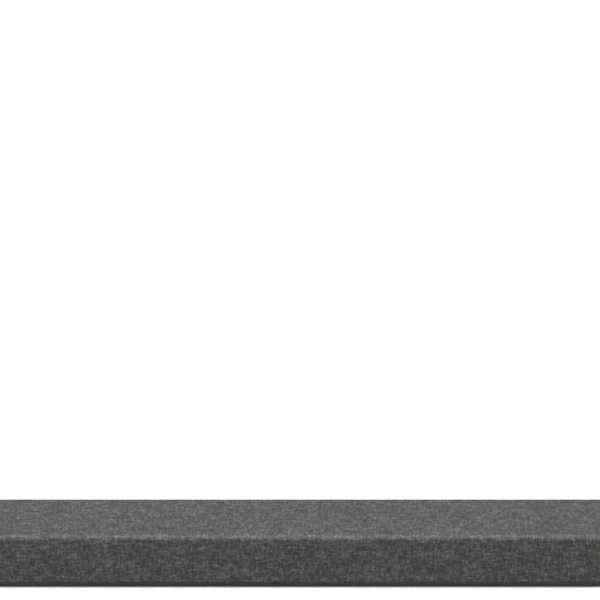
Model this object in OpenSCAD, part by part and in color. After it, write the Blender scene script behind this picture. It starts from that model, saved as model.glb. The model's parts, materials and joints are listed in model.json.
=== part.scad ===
// A soundbar: a long speaker wrapped in cloth, for use under a television.
// +X runs along the bar, -Y is its front and +Z is up. The origin is at floor level under its middle.
// Left and right are as seen from the front. All sizes are in millimetres.

/* [Bar] */
// Overall width over both end caps
bar_w = 900; // [760:5:1200]
// Overall depth from the cloth to the back panel
bar_d = 92; // [86:1:130]
// Overall height with the feet
bar_h = 60; // [58:1:80]
// Radius of the top front edge
edge_r = 6; // [4:0.5:7.5]
// Radius of the other long edges
low_r = 3; // [2.5:0.5:4]

/* [Shell] */
// Thickness of the moulded shells
wall = 2.4; // [2:0.1:3]
// Thickness of the grille cloth
cloth_t = 0.8; // [0.5:0.1:1.2]
// Height of the pan's lip, which shows below the cloth
lip_h = 4.5; // [4:0.5:7]
// How far the top cover turns down at the back
turn_h = 5; // [4:0.5:8]
// Length of each end cap along the bar
cap_w = 12; // [11.5:0.5:18]
// Gap at the parting lines
seam = 0.2; // [0.1:0.05:0.4]
// Radius round the outer face of the end caps
cap_r = 2; // [1:0.5:3]

/* [Feet] */
// Length of a foot
foot_l = 36; // [24:1:60]
// Width of a foot
foot_w = 10; // [8:1:14]
// Height of the bar's underside over the floor
foot_h = 2; // [1.5:0.5:5]
// Distance of a foot's middle from the end of the pan
foot_end = 60; // [40:5:120]
// Distance of a foot's middle from the long edge
foot_edge = 15; // [12:1:22]

/* [Speakers] */
// Side of a driver's square frame
frame_w = 46; // [45:0.5:46.5]
// Radius of the moving cone at its rim
cone_r = 15.6; // [14:0.1:15.8]
// Travel of a cone each way from rest
cone_travel = 3; // [1:0.5:3.5]
// Distance between the two drivers of one side
driver_pitch = 140; // [110:5:150]
// Thickness of the baffle that carries the drivers
baffle_t = 4; // [3.5:0.5:6]
// Wall of the speaker boxes
box_wall = 2; // [1.6:0.2:3]
// Air between the baffle and the grille
cone_room = 6.5; // [6.2:0.1:10]
// Bore radius of the bass ports
port_r = 10; // [8:0.5:11]
// Length of the bass ports
port_l = 52; // [40:1:58]
// Space for wiring between the speaker boxes and the back panel
wire_gap = 8; // [7.6:0.2:10]

/* [Electronics] */
// Length of the middle bay that holds the boards
middle_w = 280; // [270:2:320]
// Depth of the socket recesses
bay_depth = 22; // [18:1:26]
// Height of the socket recesses
bay_h = 26; // [24:1:30]
// Width of the recess for the signal sockets
jack_bay_w = 96; // [92:1:104]
// Width of the recess for the mains socket
mains_bay_w = 44; // [36:1:50]
// Thickness of the circuit boards
board_t = 1.6; // [1.2:0.2:2]
// Length of the main board
main_board_l = 120; // [116:1:126]
// Length of the power board
power_board_l = 110; // [100:1:116]

/* [Wall mounting] */
// Distance between the two threaded inserts
mount_pitch = 440; // [400:10:450]
// Bore radius of an insert, for an M4 screw
insert_bore_r = 1.65; // [1.65:0.05:2.1]

/* [Buttons] */
// Radius of a button
button_r = 4.3; // [3.5:0.1:5]
// Distance between buttons
button_pitch = 14; // [12:0.5:15]
// Travel of a button when pressed
button_travel = 0.5; // [0.3:0.1:0.7]
// How far a button stands out of its recess
button_proud = 0.5; // [0.3:0.1:0.6]

/* [Hidden] */
DRIVERS = ["left_outer", "left_inner", "right_inner", "right_outer"];
BUTTONS = ["power_button", "source_button", "volume_down_button", "volume_up_button"];
$fn = 48;

// Clearances and small standard sizes
fit = 0.1;           // between fixed pieces that slot together
slide_fit = 0.2;     // round a button or a moving piece
touch = 0.05;        // between a screw or insert and its hole
cut = 1;             // how far a cutting shape runs past the face it cuts

plastic = [0.13, 0.13, 0.135];
inner_plastic = [0.2, 0.2, 0.21];
cloth_grey = [0.3, 0.3, 0.295];
board_green = [0.05, 0.22, 0.12];
steel = [0.62, 0.63, 0.65];
brass = [0.78, 0.62, 0.32];
rubber = [0.08, 0.08, 0.08];

// Planes of the shell
front_y = -bar_d / 2;
back_y = bar_d / 2;
base_z = foot_h;
floor_z = base_z + wall;
lip_z = base_z + lip_h;
turn_z = bar_h - turn_h;
shell_w = bar_w - 2 * cap_w;
shell_end = shell_w / 2;
half_w = bar_w / 2;
mid_z = (base_z + bar_h) / 2;
grille_back_y = front_y + cloth_t + wall;
cover_under_z = bar_h - cloth_t - wall;
panel_inner_y = back_y - wall;

// Screws: one size for the housing, a smaller one for the drivers and boards
screw_r = 1.5;
screw_l = 9;
head_r = 2.8;
head_h = 1.3;
sink_h = 1.4;
small_screw_r = 1;
small_screw_l = 5;
small_head_r = 1.9;
small_head_h = 1.1;

// Speaker boxes
pad_h = 2;
box_z = floor_z + pad_h;
box_h = cover_under_z - 0.4 - box_z;
box_mid_z = box_z + box_h / 2;
box_inner_x = middle_w / 2 + 2;
box_outer_x = shell_end - 10;
box_l = box_outer_x - box_inner_x;
box_mid_x = (box_inner_x + box_outer_x) / 2;
baffle_y = grille_back_y + cone_room;
ledge_back_y = baffle_y - 0.4;
split_y = ledge_back_y - 1.4;
box_front_y = baffle_y + baffle_t;
box_back_y = panel_inner_y - wire_gap;
box_screw_dx = box_l / 2 - 34;

// Driver, in its own frame: +Z points out of the baffle and z = 0 is the face of its frame
flange_t = 1.5;
gasket_t = 0.8;
frame_corner_r = 4;
frame_hole = frame_w / 2 - 4.2;
basket_mouth_r = 20;
basket_cut_r = 21.4;
neck_r = 6.6;
former_r = 6.25;
pole_r = 6;
magnet_depth = 29.5;
roll_h = 2.2;
lip_t = 0.5;

// Boards
standoff_h = 7;
board_z = floor_z + standoff_h;
board_top_z = board_z + board_t;
bay_wall = 1.8;
bay_floor_y = back_y - bay_depth;
board_back_y = bay_floor_y - bay_wall - 0.7;
board_front_y = grille_back_y + 9;
board_d = board_back_y - board_front_y;
main_board_x = 68;
power_board_x = -73;
mains_bay_x = -95;
bay_low_z = board_top_z - 2.5;
bay_mid_z = bay_low_z + bay_h / 2;
bay_corner_r = 3;
hdmi_x = main_board_x - 34;
usb_x = main_board_x - 11;
optical_x = main_board_x + 12;
aux_x = main_board_x + 33;
socket_out_y = bay_floor_y + 0.5;

// Buttons
cap_inner_x = half_w - wall;
dish_depth = 0.8;
dish_h = 14;
button_face_x = half_w - dish_depth + button_proud;
button_flange_t = 1;
switch_h = 5;
button_board_x = cap_inner_x - touch - button_flange_t - button_travel - touch - switch_h;
button_post_y = 1.5 * button_pitch + button_r + 4.7;
button_board_l = 2 * (button_post_y + 4);
button_board_top = mid_z + 9;
button_board_low = floor_z + 5.6;

// Position of each driver along the bar, in the order of DRIVERS
function driver_x(i) = (i < 2 ? -1 : 1) * (box_mid_x + (i == 0 || i == 3 ? 1 : -1) * driver_pitch / 2);

// Position of each button across the bar, in the order of BUTTONS
function button_y(i) = (i - 1.5) * button_pitch;

// ---- Outlines ----

// Points of an arc round [cx, cy], both ends included
function arc(cx, cy, r, from, to, steps = 8) =
    [for (i = [0:steps]) let (a = from + (to - from) * i / steps) [cx + r * cos(a), cy + r * sin(a)]];

// Outline of a rectangle whose corner radii run anticlockwise from the lower left
function rounded(x0, y0, x1, y1, radii, steps = 8) = concat(
    arc(x0 + radii[0], y0 + radii[0], radii[0], 180, 270, steps),
    arc(x1 - radii[1], y0 + radii[1], radii[1], 270, 360, steps),
    arc(x1 - radii[2], y1 - radii[2], radii[2], 0, 90, steps),
    arc(x0 + radii[3], y1 - radii[3], radii[3], 90, 180, steps)
);

// Outline of a slot with round ends, centred, its length along the first axis
function slot(l, w, steps = 8) = concat(
    arc((l - w) / 2, 0, w / 2, -90, 90, steps),
    arc(-(l - w) / 2, 0, w / 2, 90, 270, steps)
);

// Cross-section of the bar in Y and Z, drawn in by inset all round
function section(inset) = rounded(
    front_y + inset, base_z + inset, back_y - inset, bar_h - inset,
    [for (r = [low_r, low_r, low_r, edge_r]) max(r - inset, 0.3)], 12
);

// ---- Helpers ----

// Runs a Y-Z outline along the bar, centred
module along(len) {
    translate([-len / 2, 0, 0]) rotate([90, 0, 90]) linear_extrude(len) children();
}

// A box given by two opposite corners
module block(low, high) {
    translate(low) cube(high - low);
}

// A cylinder along +Y from y0 to y1
module bore_y(x, z, r, y0, y1) {
    translate([x, y0, z]) rotate([-90, 0, 0]) cylinder(r = r, h = y1 - y0);
}

// An X-Z outline extruded from y0 to y1
module plate_y(y0, y1) {
    translate([0, y1, 0]) rotate([90, 0, 0]) linear_extrude(y1 - y0) children();
}

// A round wire or lead swept along points, closed at both ends
function unit(v) = v / norm(v);
function heading(p, i) = unit(p[min(i + 1, len(p) - 1)] - p[max(i - 1, 0)]);
function ring_at(p, i, r, sides) =
    let (t = heading(p, i), u = unit(cross(t, [0.05, 0.1, 1])), w = cross(t, u))
    [for (k = [0:sides - 1]) p[i] + r * (cos(360 * k / sides) * u + sin(360 * k / sides) * w)];
module tube(p, r, sides = 8) {
    n = len(p);
    polyhedron(
        points = [for (i = [0:n - 1]) each ring_at(p, i, r, sides)],
        faces = concat(
            [[for (k = [0:sides - 1]) k]],
            [for (i = [0:n - 2]) for (k = [0:sides - 1]) let (m = (k + 1) % sides)
                [i * sides + k, (i + 1) * sides + k, (i + 1) * sides + m, i * sides + m]],
            [[for (k = [sides - 1:-1:0]) (n - 1) * sides + k]]
        )
    );
}

// A smooth curve through hand-set points, with steps points in each stretch
function curve(p, steps = 4) = concat(
    [for (i = [0:len(p) - 2]) for (s = [0:steps - 1])
        let (t = s / steps, a = p[max(i - 1, 0)], b = p[i], c = p[i + 1], d = p[min(i + 2, len(p) - 1)])
        0.5 * (2 * b + (c - a) * t + (2 * a - 5 * b + 4 * c - d) * t * t + (3 * b - a - 3 * c + d) * t * t * t)],
    [p[len(p) - 1]]
);

// Outline of a flat strip of thickness t along 2D points
function side_step(p, i) = let (d = unit(p[min(i + 1, len(p) - 1)] - p[max(i - 1, 0)])) [-d[1], d[0]];
function strip(p, t) = concat(
    [for (i = [0:len(p) - 1]) p[i] + side_step(p, i) * t / 2],
    [for (i = [len(p) - 1:-1:0]) p[i] - side_step(p, i) * t / 2]
);

// ---- Shell ----

// Places of the screws in the pan's floor: two under each speaker box, one under each end cap's tongue
function pan_screws() = [for (s = [-1, 1]) for (dx = [-1, 1]) [s * box_mid_x + dx * box_screw_dx, 0]];
tongue_l = 8;
function tongue_screws() = [for (s = [-1, 1]) [s * (shell_end - tongue_l / 2), 0]];
function panel_screws() = [for (s = [-1, 1]) for (dx = [-1, 1]) s * box_mid_x + dx * box_screw_dx];
function board_posts() = concat(
    [for (dx = [-1, 1]) for (y = [board_front_y + 4, board_back_y - 4])
        [main_board_x + dx * (main_board_l / 2 - 4), y]],
    [for (dx = [-1, 1]) for (y = [board_front_y + 4, board_back_y - 4])
        [power_board_x + dx * (power_board_l / 2 - 4), y]]
);

// Places of the feet
function foot_places() = [for (s = [-1, 1]) for (y = [front_y + foot_edge, back_y - foot_edge])
    [s * (shell_end - foot_end), y]];
foot_sink = 0.8;

vent_pitch = 6;
floor_vents = 12;
panel_vents = 11;
label_w = 70;
label_h = 30;
label_x = -box_mid_x;

module bottom_pan() {
    color(plastic) difference() {
        union() {
            difference() {
                along(shell_w) polygon(section(0));
                along(shell_w + 2 * cut) polygon(section(wall));
                block([-half_w, front_y - cut, lip_z], [half_w, back_y + cut, bar_h + cut]);
            }
            for (p = pan_screws()) translate([p[0], p[1], floor_z - cut])
                cylinder(r = 5, h = pad_h + cut);
            for (p = board_posts()) translate([p[0], p[1], floor_z - cut])
                cylinder(r = 3.2, h = standoff_h + cut);
            // Rails that hold the lower edge of the display board
            for (dx = [-1, 1]) for (dy = [-1, 1])
                translate([dx * 34, display_y + dy * (board_t / 2 + fit + 0.8), floor_z + 3.5])
                    cube([8, 1.6, 9], center = true);
        }
        for (p = concat(pan_screws(), tongue_screws())) translate([p[0], p[1], 0]) {
            translate([0, 0, base_z - cut]) cylinder(r = head_r + 0.4, h = sink_h + cut);
            translate([0, 0, base_z]) cylinder(r = screw_r + touch, h = 10);
        }
        for (p = board_posts()) translate([p[0], p[1], board_z - small_screw_l])
            cylinder(r = small_screw_r + touch, h = small_screw_l + cut);
        for (p = foot_places()) translate([p[0], p[1], base_z - cut])
            linear_extrude(foot_sink + cut) polygon(slot(foot_l + 2 * fit, foot_w + 2 * fit));
        // Air slots under the boards
        for (i = [0:floor_vents - 1]) translate([power_board_x + (i - (floor_vents - 1) / 2) * vent_pitch, 0, 0])
            linear_extrude(floor_z + cut) rotate(90) polygon(slot(28, 2.6));
        // Shallow recess for the label
        translate([label_x, 0, base_z - cut]) linear_extrude(0.3 + cut)
            polygon(rounded(-label_w / 2 - fit, -label_h / 2 - fit, label_w / 2 + fit, label_h / 2 + fit,
                [2, 2, 2, 2]));
    }
}

// The panel is moulded in three lengths, which meet at the inner ends of the speaker boxes
panel_tongue = 6;
panel_joint_x = box_inner_x;

// One length of the back panel, from x0 to x1; side is -1 or 1 for the outer two and 0 for the middle one
module back_panel(x0, x1, side) {
    color(plastic) difference() {
        union() {
            block([x0, panel_inner_y, lip_z + seam], [x1, back_y, turn_z - seam]);
            if (side != 0) bore_y(side * mount_pitch / 2, mid_z, 4.5, panel_inner_y - 6.6, panel_inner_y + 1);
            // Tongues of the middle length, which hold it behind the outer two
            if (side == 0) for (s = [-1, 1]) union() {
                block([s > 0 ? x1 - 4 : x0 - panel_tongue, panel_inner_y - 1.8, lip_z + 5],
                    [s > 0 ? x1 + panel_tongue : x0 + 4, panel_inner_y - touch, turn_z - 6]);
                block([s > 0 ? x1 - 4 : x0, panel_inner_y - 1.8, lip_z + 5],
                    [s > 0 ? x1 : x0 + 4, panel_inner_y + 1, turn_z - 6]);
            }
        }
        if (side != 0) {
            bore_y(side * mount_pitch / 2, mid_z, 3 + touch, panel_inner_y - 7, back_y + cut);
            bore_y(side * box_mid_x, box_mid_z, port_r + 5 + fit, panel_inner_y - cut, back_y + cut);
            for (dx = [-1, 1]) {
                x = side * box_mid_x + dx * box_screw_dx;
                bore_y(x, box_mid_z, screw_r + touch, panel_inner_y - cut, back_y + cut);
                bore_y(x, box_mid_z, head_r + 0.4, back_y - sink_h, back_y + cut);
            }
        } else {
            translate([main_board_x, 0, bay_mid_z]) plate_y(panel_inner_y - cut, back_y + cut)
                polygon(bay_outline(jack_bay_w, fit));
            translate([mains_bay_x, 0, bay_mid_z]) plate_y(panel_inner_y - cut, back_y + cut)
                polygon(bay_outline(mains_bay_w, fit));
            // Air slots between the two recesses
            for (i = [0:panel_vents - 1]) translate([-26 + (i - (panel_vents - 1) / 2) * vent_pitch, 0, mid_z])
                plate_y(panel_inner_y - cut, back_y + cut) rotate(90) polygon(slot(30, 2.6));
        }
    }
}

// The ring between two insets of the bar's section, run along the whole shell
module skin(outer, inner) {
    difference() {
        along(shell_w - 2 * seam) polygon(section(outer));
        along(bar_w) polygon(section(inner));
        block([-half_w, front_y - cut, base_z - cut], [half_w, back_y + cut, lip_z + seam]);
        block([-half_w, 0, base_z - cut], [half_w, back_y + cut, turn_z]);
    }
}

grille_slot_pitch = 8;
function grille_slots() = let (n = floor((box_l - 24) / grille_slot_pitch / 2))
    [for (s = [-1, 1]) for (i = [-n:n]) s * box_mid_x + i * grille_slot_pitch];
window_w = 60;
window_h = 11;
window_z = mid_z + 2;

module front_grille() {
    color(inner_plastic) difference() {
        union() {
            difference() {
                skin(cloth_t, cloth_t + wall);
                block([-half_w, split_y - seam / 2, base_z], [half_w, back_y + cut, bar_h + cut]);
            }
            // Tabs that sit behind the pan's front lip
            for (i = [-4:4]) translate([i * shell_w / 9.5, front_y + wall + fit, 0])
                block([-6, 0, floor_z + 0.8], [6, 1.6, lip_z + 5]);
        }
        for (x = grille_slots()) translate([x, 0, box_mid_z - 1])
            plate_y(front_y - cut, grille_back_y + 2) rotate(90) polygon(slot(34, 4));
        translate([0, 0, window_z]) plate_y(front_y - cut, grille_back_y + 2)
            polygon(slot(window_w, window_h));
    }
}

module top_cover() {
    color(inner_plastic) union() {
        difference() {
            skin(cloth_t, cloth_t + wall);
            block([-half_w, front_y - cut, base_z], [half_w, split_y + seam / 2, bar_h + cut]);
        }
        // Ledge under the joint with the front grille
        block([-shell_end + 12, max(split_y - 2, front_y + edge_r + touch), cover_under_z - 1.4],
            [shell_end - 12, ledge_back_y, cover_under_z - touch]);
        block([-shell_end + 12, split_y + 0.4, cover_under_z - 1.4], [shell_end - 12, ledge_back_y, cover_under_z + 1]);
        // Tabs that sit behind the back panel's upper edge
        for (i = [-4:4]) translate([i * shell_w / 9.5, 0, 0])
            block([-6, panel_inner_y - fit - 1.6, turn_z - 5], [6, panel_inner_y - fit, cover_under_z + 1]);
    }
}

module grille_cloth() {
    color(cloth_grey) difference() {
        along(shell_w - 2 * seam) polygon(section(0));
        along(bar_w) polygon(section(cloth_t));
        block([-half_w, front_y - cut, base_z - cut], [half_w, back_y + cut, lip_z + seam]);
        block([-half_w, 0, base_z - cut], [half_w, back_y + cut, turn_z]);
    }
}

// The closed outer form of an end cap, its outer edge rounded; it lies along +X from the shell's end
module cap_form() {
    round_steps = 5;
    hull() {
        translate([0, 0, 0]) rotate([90, 0, 90]) linear_extrude(cap_w - cap_r) polygon(section(0));
        for (i = [1:round_steps]) let (a = 90 * i / round_steps)
            translate([cap_w - cap_r + cap_r * sin(a) - 0.01, 0, 0]) rotate([90, 0, 90])
                linear_extrude(0.01) polygon(section(cap_r * (1 - cos(a))));
    }
}

module end_cap(side) {
    color(plastic) mirror([side < 0 ? 1 : 0, 0, 0]) difference() {
        union() {
            difference() {
                translate([shell_end, 0, 0]) cap_form();
                translate([shell_end - cut, 0, 0]) rotate([90, 0, 90])
                    linear_extrude(cap_w - wall + cut) polygon(section(wall));
            }
            // Tongue that slides over the pan's floor and takes a screw from below
            block([shell_end - tongue_l, -20, floor_z + fit], [shell_end + 5, 20, floor_z + 5]);
            block([shell_end + 0.5, -20, floor_z - 1], [shell_end + 5, 20, floor_z + 5]);
        }
        translate([shell_end - tongue_l / 2, 0, floor_z]) cylinder(r = screw_r + touch, h = 10);
        if (side > 0) button_openings();
    }
    if (side > 0) color(plastic) for (dy = [-1, 1])
        button_post(dy * button_post_y);
}

// The recess and holes in the right end cap
module button_openings() {
    translate([half_w - dish_depth, 0, mid_z]) rotate([90, 0, 90])
        linear_extrude(dish_depth + cut) polygon(slot(3 * button_pitch + dish_h, dish_h, 12));
    for (i = [0:3]) translate([cap_inner_x - cut, button_y(i), mid_z]) rotate([0, 90, 0])
        cylinder(r = button_r + slide_fit, h = wall + 2 * cut);
}

// A post inside the right end cap that carries the button board
module button_post(y) {
    translate([button_board_x, y, mid_z]) rotate([0, 90, 0]) difference() {
        cylinder(r = 3, h = cap_inner_x - button_board_x + 1);
        translate([0, 0, -cut]) cylinder(r = small_screw_r + touch, h = small_screw_l + cut);
    }
}

// Opening of a recess in the back panel, grown by grow all round
function bay_outline(w, grow) = let (r = bay_corner_r + grow)
    rounded(-w / 2 - bay_wall - grow, -bay_h / 2 - bay_wall - grow, w / 2 + bay_wall + grow, bay_h / 2 + bay_wall + grow,
        [r, r, r, r]);

// A recessed tub set into the back panel from inside; its children cut the socket holes
module bay(x, w) {
    color(plastic) difference() {
        union() {
            translate([x, 0, bay_mid_z]) plate_y(bay_floor_y - bay_wall, back_y) polygon(bay_outline(w, 0));
            translate([x, 0, bay_mid_z]) plate_y(panel_inner_y - touch - 1.6, panel_inner_y - touch)
                polygon(bay_outline(w, 3));
        }
        translate([x, 0, bay_mid_z]) plate_y(bay_floor_y, back_y + cut)
            polygon(rounded(-w / 2, -bay_h / 2, w / 2, bay_h / 2, [2, 2, 2, 2]));
        children();
    }
}

module jack_bay() {
    bay(main_board_x, jack_bay_w) {
        translate([hdmi_x, 0, board_top_z + hdmi_h / 2]) plate_y(bay_floor_y - 4, bay_floor_y + cut)
            polygon(hdmi_outline(fit));
        translate([usb_x, 0, board_top_z + usb_h / 2]) plate_y(bay_floor_y - 4, bay_floor_y + cut)
            square([usb_w + 2 * fit, usb_h + 2 * fit], center = true);
        translate([optical_x, 0, board_top_z + optical_h / 2]) plate_y(bay_floor_y - 4, bay_floor_y + cut)
            square([optical_w + 2 * fit, optical_h + 2 * fit], center = true);
        bore_y(aux_x, aux_z, aux_collar_r + fit, bay_floor_y - 4, bay_floor_y + cut);
    }
}

module mains_bay() {
    bay(mains_bay_x, mains_bay_w)
        translate([mains_bay_x, 0, mains_z]) plate_y(bay_floor_y - 4, bay_floor_y + cut)
            polygon(rounded(-mains_w / 2 - fit, -mains_h / 2 - fit, mains_w / 2 + fit, mains_h / 2 + fit,
                [3, 3, 3, 3]));
}

// ---- Speaker boxes ----

// Rear wiring gap posts: one behind each panel screw
module speaker_box(side) {
    color(inner_plastic) mirror([side < 0 ? 1 : 0, 0, 0]) difference() {
        union() {
            difference() {
                block([box_inner_x, box_front_y, box_z], [box_outer_x, box_back_y, box_z + box_h]);
                block([box_inner_x + box_wall, box_front_y - cut, box_z + box_wall],
                    [box_outer_x - box_wall, box_back_y - box_wall, box_z + box_h - box_wall]);
            }
            for (dx = [-1, 1]) {
                bore_y(box_mid_x + dx * box_screw_dx, box_mid_z, 4, box_back_y - box_wall - 3, panel_inner_y);
                translate([box_mid_x + dx * box_screw_dx, 0, box_z + 1]) cylinder(r = 4, h = 8);
            }
        }
        for (dx = [-1, 1]) {
            bore_y(box_mid_x + dx * box_screw_dx, box_mid_z, screw_r + touch,
                panel_inner_y - screw_l, panel_inner_y + cut);
            translate([box_mid_x + dx * box_screw_dx, 0, box_z - cut])
                cylinder(r = screw_r + touch, h = 7 + cut);
        }
        bore_y(box_mid_x, box_mid_z, port_r + port_wall + touch, box_back_y - 4, box_back_y + cut);
        // Hole for the speaker wires
        translate([box_inner_x - cut, 0, box_z + box_h - 12]) rotate([0, 90, 0])
            cylinder(r = wire_r + 0.5, h = box_wall + 2 * cut);
    }
}

module baffle(side) {
    color(inner_plastic) difference() {
        block([min(side * box_inner_x, side * box_outer_x), baffle_y, box_z],
            [max(side * box_inner_x, side * box_outer_x), box_front_y, box_z + box_h]);
        for (i = side < 0 ? [0, 1] : [2, 3]) at_driver(i) {
            seat = frame_w + 2 * slide_fit;
            translate([0, 0, -flange_t - gasket_t]) linear_extrude(flange_t + gasket_t + cut)
                polygon(rounded(-seat / 2, -seat / 2, seat / 2, seat / 2,
                    [frame_corner_r, frame_corner_r, frame_corner_r, frame_corner_r]));
            translate([0, 0, -baffle_t - cut]) cylinder(r = basket_cut_r, h = baffle_t + 2 * cut);
            for (a = [45:90:315]) rotate(a) translate([frame_hole * sqrt(2), 0, -baffle_t - cut])
                cylinder(r = small_screw_r + touch, h = baffle_t + cut);
        }
    }
}

port_wall = 1.8;
port_flare = 4;

module bass_port(side) {
    neck = port_r + port_wall;
    mouth = port_r + port_flare;
    inner_end = port_l - port_flare;
    panel_stop = back_y - panel_inner_y;
    seat_at = back_y - box_back_y;
    color(inner_plastic) translate([side * box_mid_x, back_y, box_mid_z]) rotate([90, 0, 0])
        rotate_extrude() polygon(concat(
            [for (p = arc(mouth, port_flare, port_flare, 270, 180)) p],
            [for (p = arc(mouth, inner_end, port_flare, 180, 90)) p],
            [[mouth + 1, port_l], [mouth + 1, port_l - 1.2]],
            [[neck + 1.2, inner_end - 1], [neck, inner_end - 4]],
            [[neck, seat_at], [neck + 4, seat_at], [neck + 4, seat_at - 1.8], [neck, seat_at - 1.8]],
            [[neck, panel_stop + 3], [mouth + 1, panel_stop], [mouth + 1, 0]]
        ));
}

// ---- Drivers ----

// Puts its children in the frame of driver i, with +Z pointing out of the bar's front
module at_driver(i) {
    translate([driver_x(i), baffle_y, box_mid_z]) rotate([90, 0, 0]) children();
}

module basket(i) {
    color(steel) at_driver(i) difference() {
        union() {
            translate([0, 0, -flange_t]) linear_extrude(flange_t)
                polygon(rounded(-frame_w / 2, -frame_w / 2, frame_w / 2, frame_w / 2,
                    [frame_corner_r, frame_corner_r, frame_corner_r, frame_corner_r]));
            rotate_extrude() polygon([
                [basket_mouth_r, -flange_t / 2], [basket_mouth_r + 1.2, -flange_t / 2], [basket_mouth_r + 1.2, -3],
                [15.2, -15.5], [8.5, -15.5], [8.5, -14.3], [14.4, -14.3], [basket_mouth_r, -3]
            ]);
        }
        translate([0, 0, -flange_t - cut]) cylinder(r = basket_mouth_r, h = flange_t + 2 * cut);
        for (a = [45:90:315]) rotate(a) translate([frame_hole * sqrt(2), 0, -flange_t - cut])
            cylinder(r = small_screw_r + 0.3, h = flange_t + 2 * cut);
        // Open windows between the four legs
        for (a = [0:90:270]) rotate(a) translate([10, -5.5, -12.3]) cube([14, 11, 7.6]);
    }
}

// Top plate, ferrite ring, back plate and pole, glued into one magnet assembly
module magnet(i) {
    gap_r = 7;
    top = -15.5;
    color([0.24, 0.24, 0.25]) at_driver(i) rotate_extrude() polygon([
        [0, top], [pole_r, top], [pole_r, top - 11], [8.4, top - 11], [8.4, top - 3.2], [gap_r, top - 3.2],
        [gap_r, top], [14, top], [14, top - 3.2], [16.5, top - 3.2], [16.5, top - 11], [14, top - 11],
        [14, -magnet_depth], [0, -magnet_depth]
    ]);
}

// Paper cone with its dust cap and voice coil former; this is what moves
module cone(i) {
    cap_rise = 3.2;
    color([0.1, 0.1, 0.1]) at_driver(i) rotate_extrude() polygon(concat(
        [[cone_r, 0], [cone_r - 1.3, 0], [neck_r + 1.6, -7.4]],
        [for (t = [1:-0.25:0]) [(neck_r + 1.2) * t, -7.4 + cap_rise * (1 - t * t)]],
        [for (t = [0:0.25:1]) [(neck_r - 0.2) * t, -8 + cap_rise * (1 - t * t)]],
        [[former_r, -9], [former_r, -22], [neck_r, -22], [neck_r, -9.4], [neck_r + 0.6, -8.6]],
        [[cone_r - 1.2, -0.8], [cone_r, -0.8]]
    ));
}

// Rubber half roll between the cone's rim and the basket
module surround(i) {
    outer_r = frame_w / 2 - 0.8;
    roll_mid = (cone_r + basket_mouth_r) / 2 + 0.1;
    roll_r = (basket_mouth_r - cone_r) / 2 + 0.1;
    color(rubber) at_driver(i) rotate_extrude() polygon(concat(
        [[cone_r - 1.4, 0], [cone_r - 1.4, lip_t], [roll_mid - roll_r, lip_t]],
        [for (a = [165:-15:15]) [roll_mid + roll_r * cos(a), lip_t + roll_h * sin(a)]],
        [[roll_mid + roll_r, lip_t], [outer_r, lip_t], [outer_r, 0], [roll_mid + roll_r - lip_t, 0]],
        [for (a = [15:15:165]) [roll_mid + (roll_r - lip_t) * cos(a), (roll_h) * sin(a)]],
        [[roll_mid - roll_r + lip_t, 0]]
    ));
}

// Corrugated discs that centre the voice coils
module spiders() {
    wave = [for (r = [neck_r + touch:1:13.7]) r];
    color([0.72, 0.55, 0.3]) for (i = [0:3]) at_driver(i) rotate_extrude() polygon(concat(
        [for (k = [0:len(wave) - 1]) [wave[k], -13.6 + (k % 2) * 0.5]],
        [[14.1, -13.6], [14.1, -14.2]],
        [for (k = [len(wave) - 1:-1:0]) [wave[k], -14.1 + (k % 2) * 0.5]]
    ));
}

module driver_gaskets() {
    color([0.15, 0.15, 0.15]) for (i = [0:3]) at_driver(i)
        translate([0, 0, -flange_t - gasket_t]) difference() {
            linear_extrude(gasket_t) polygon(rounded(-frame_w / 2, -frame_w / 2, frame_w / 2, frame_w / 2,
                [frame_corner_r, frame_corner_r, frame_corner_r, frame_corner_r]));
            translate([0, 0, -cut]) cylinder(r = basket_mouth_r + 1.3, h = gasket_t + 2 * cut);
            for (a = [45:90:315]) rotate(a) translate([frame_hole * sqrt(2), 0, -cut])
                cylinder(r = small_screw_r + 0.3, h = gasket_t + 2 * cut);
        }
}

// A cross-headed screw with its head's underside at z = 0 and its shank along -Z
module screw(r, l, hr, hh) {
    difference() {
        union() {
            cylinder(r = hr, h = hh);
            translate([0, 0, -l]) cylinder(r = r, h = l + hh / 2);
        }
        for (a = [0, 90]) rotate(a) translate([-hr * 0.6, -hr * 0.11, hh * 0.35]) cube([hr * 1.2, hr * 0.22, hh]);
    }
}

// The drivers' sixteen screws and the boards' ten are the same
module small_screws() {
    color(steel) {
        for (i = [0:3]) at_driver(i) for (a = [45:90:315]) rotate(a) translate([frame_hole * sqrt(2), 0, 0])
            screw(small_screw_r, small_screw_l, small_head_r, small_head_h);
        for (p = board_posts()) translate([p[0], p[1], board_top_z])
            screw(small_screw_r, small_screw_l, small_head_r, small_head_h);
        for (dy = [-1, 1]) translate([button_board_x - board_t, dy * button_post_y, mid_z])
            rotate([0, -90, 0]) screw(small_screw_r, small_screw_l, small_head_r, small_head_h);
    }
}

module housing_screws() {
    color([0.12, 0.12, 0.13]) {
        for (p = concat(pan_screws(), tongue_screws())) translate([p[0], p[1], base_z + sink_h])
            mirror([0, 0, 1]) screw(screw_r, screw_l - 2, head_r, head_h);
        for (x = panel_screws()) translate([x, back_y - sink_h, box_mid_z])
            rotate([-90, 0, 0]) screw(screw_r, screw_l - 1, head_r, head_h);
    }
}

// ---- Boards ----

// A horizontal board on its standoffs, with holes for its four screws
module board(x, l) {
    difference() {
        block([x - l / 2, board_front_y, board_z], [x + l / 2, board_back_y, board_top_z]);
        for (dx = [-1, 1]) for (y = [board_front_y + 4, board_back_y - 4])
            translate([x + dx * (l / 2 - 4), y, board_z - cut])
                cylinder(r = small_screw_r + touch, h = board_t + 2 * cut);
    }
}

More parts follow.
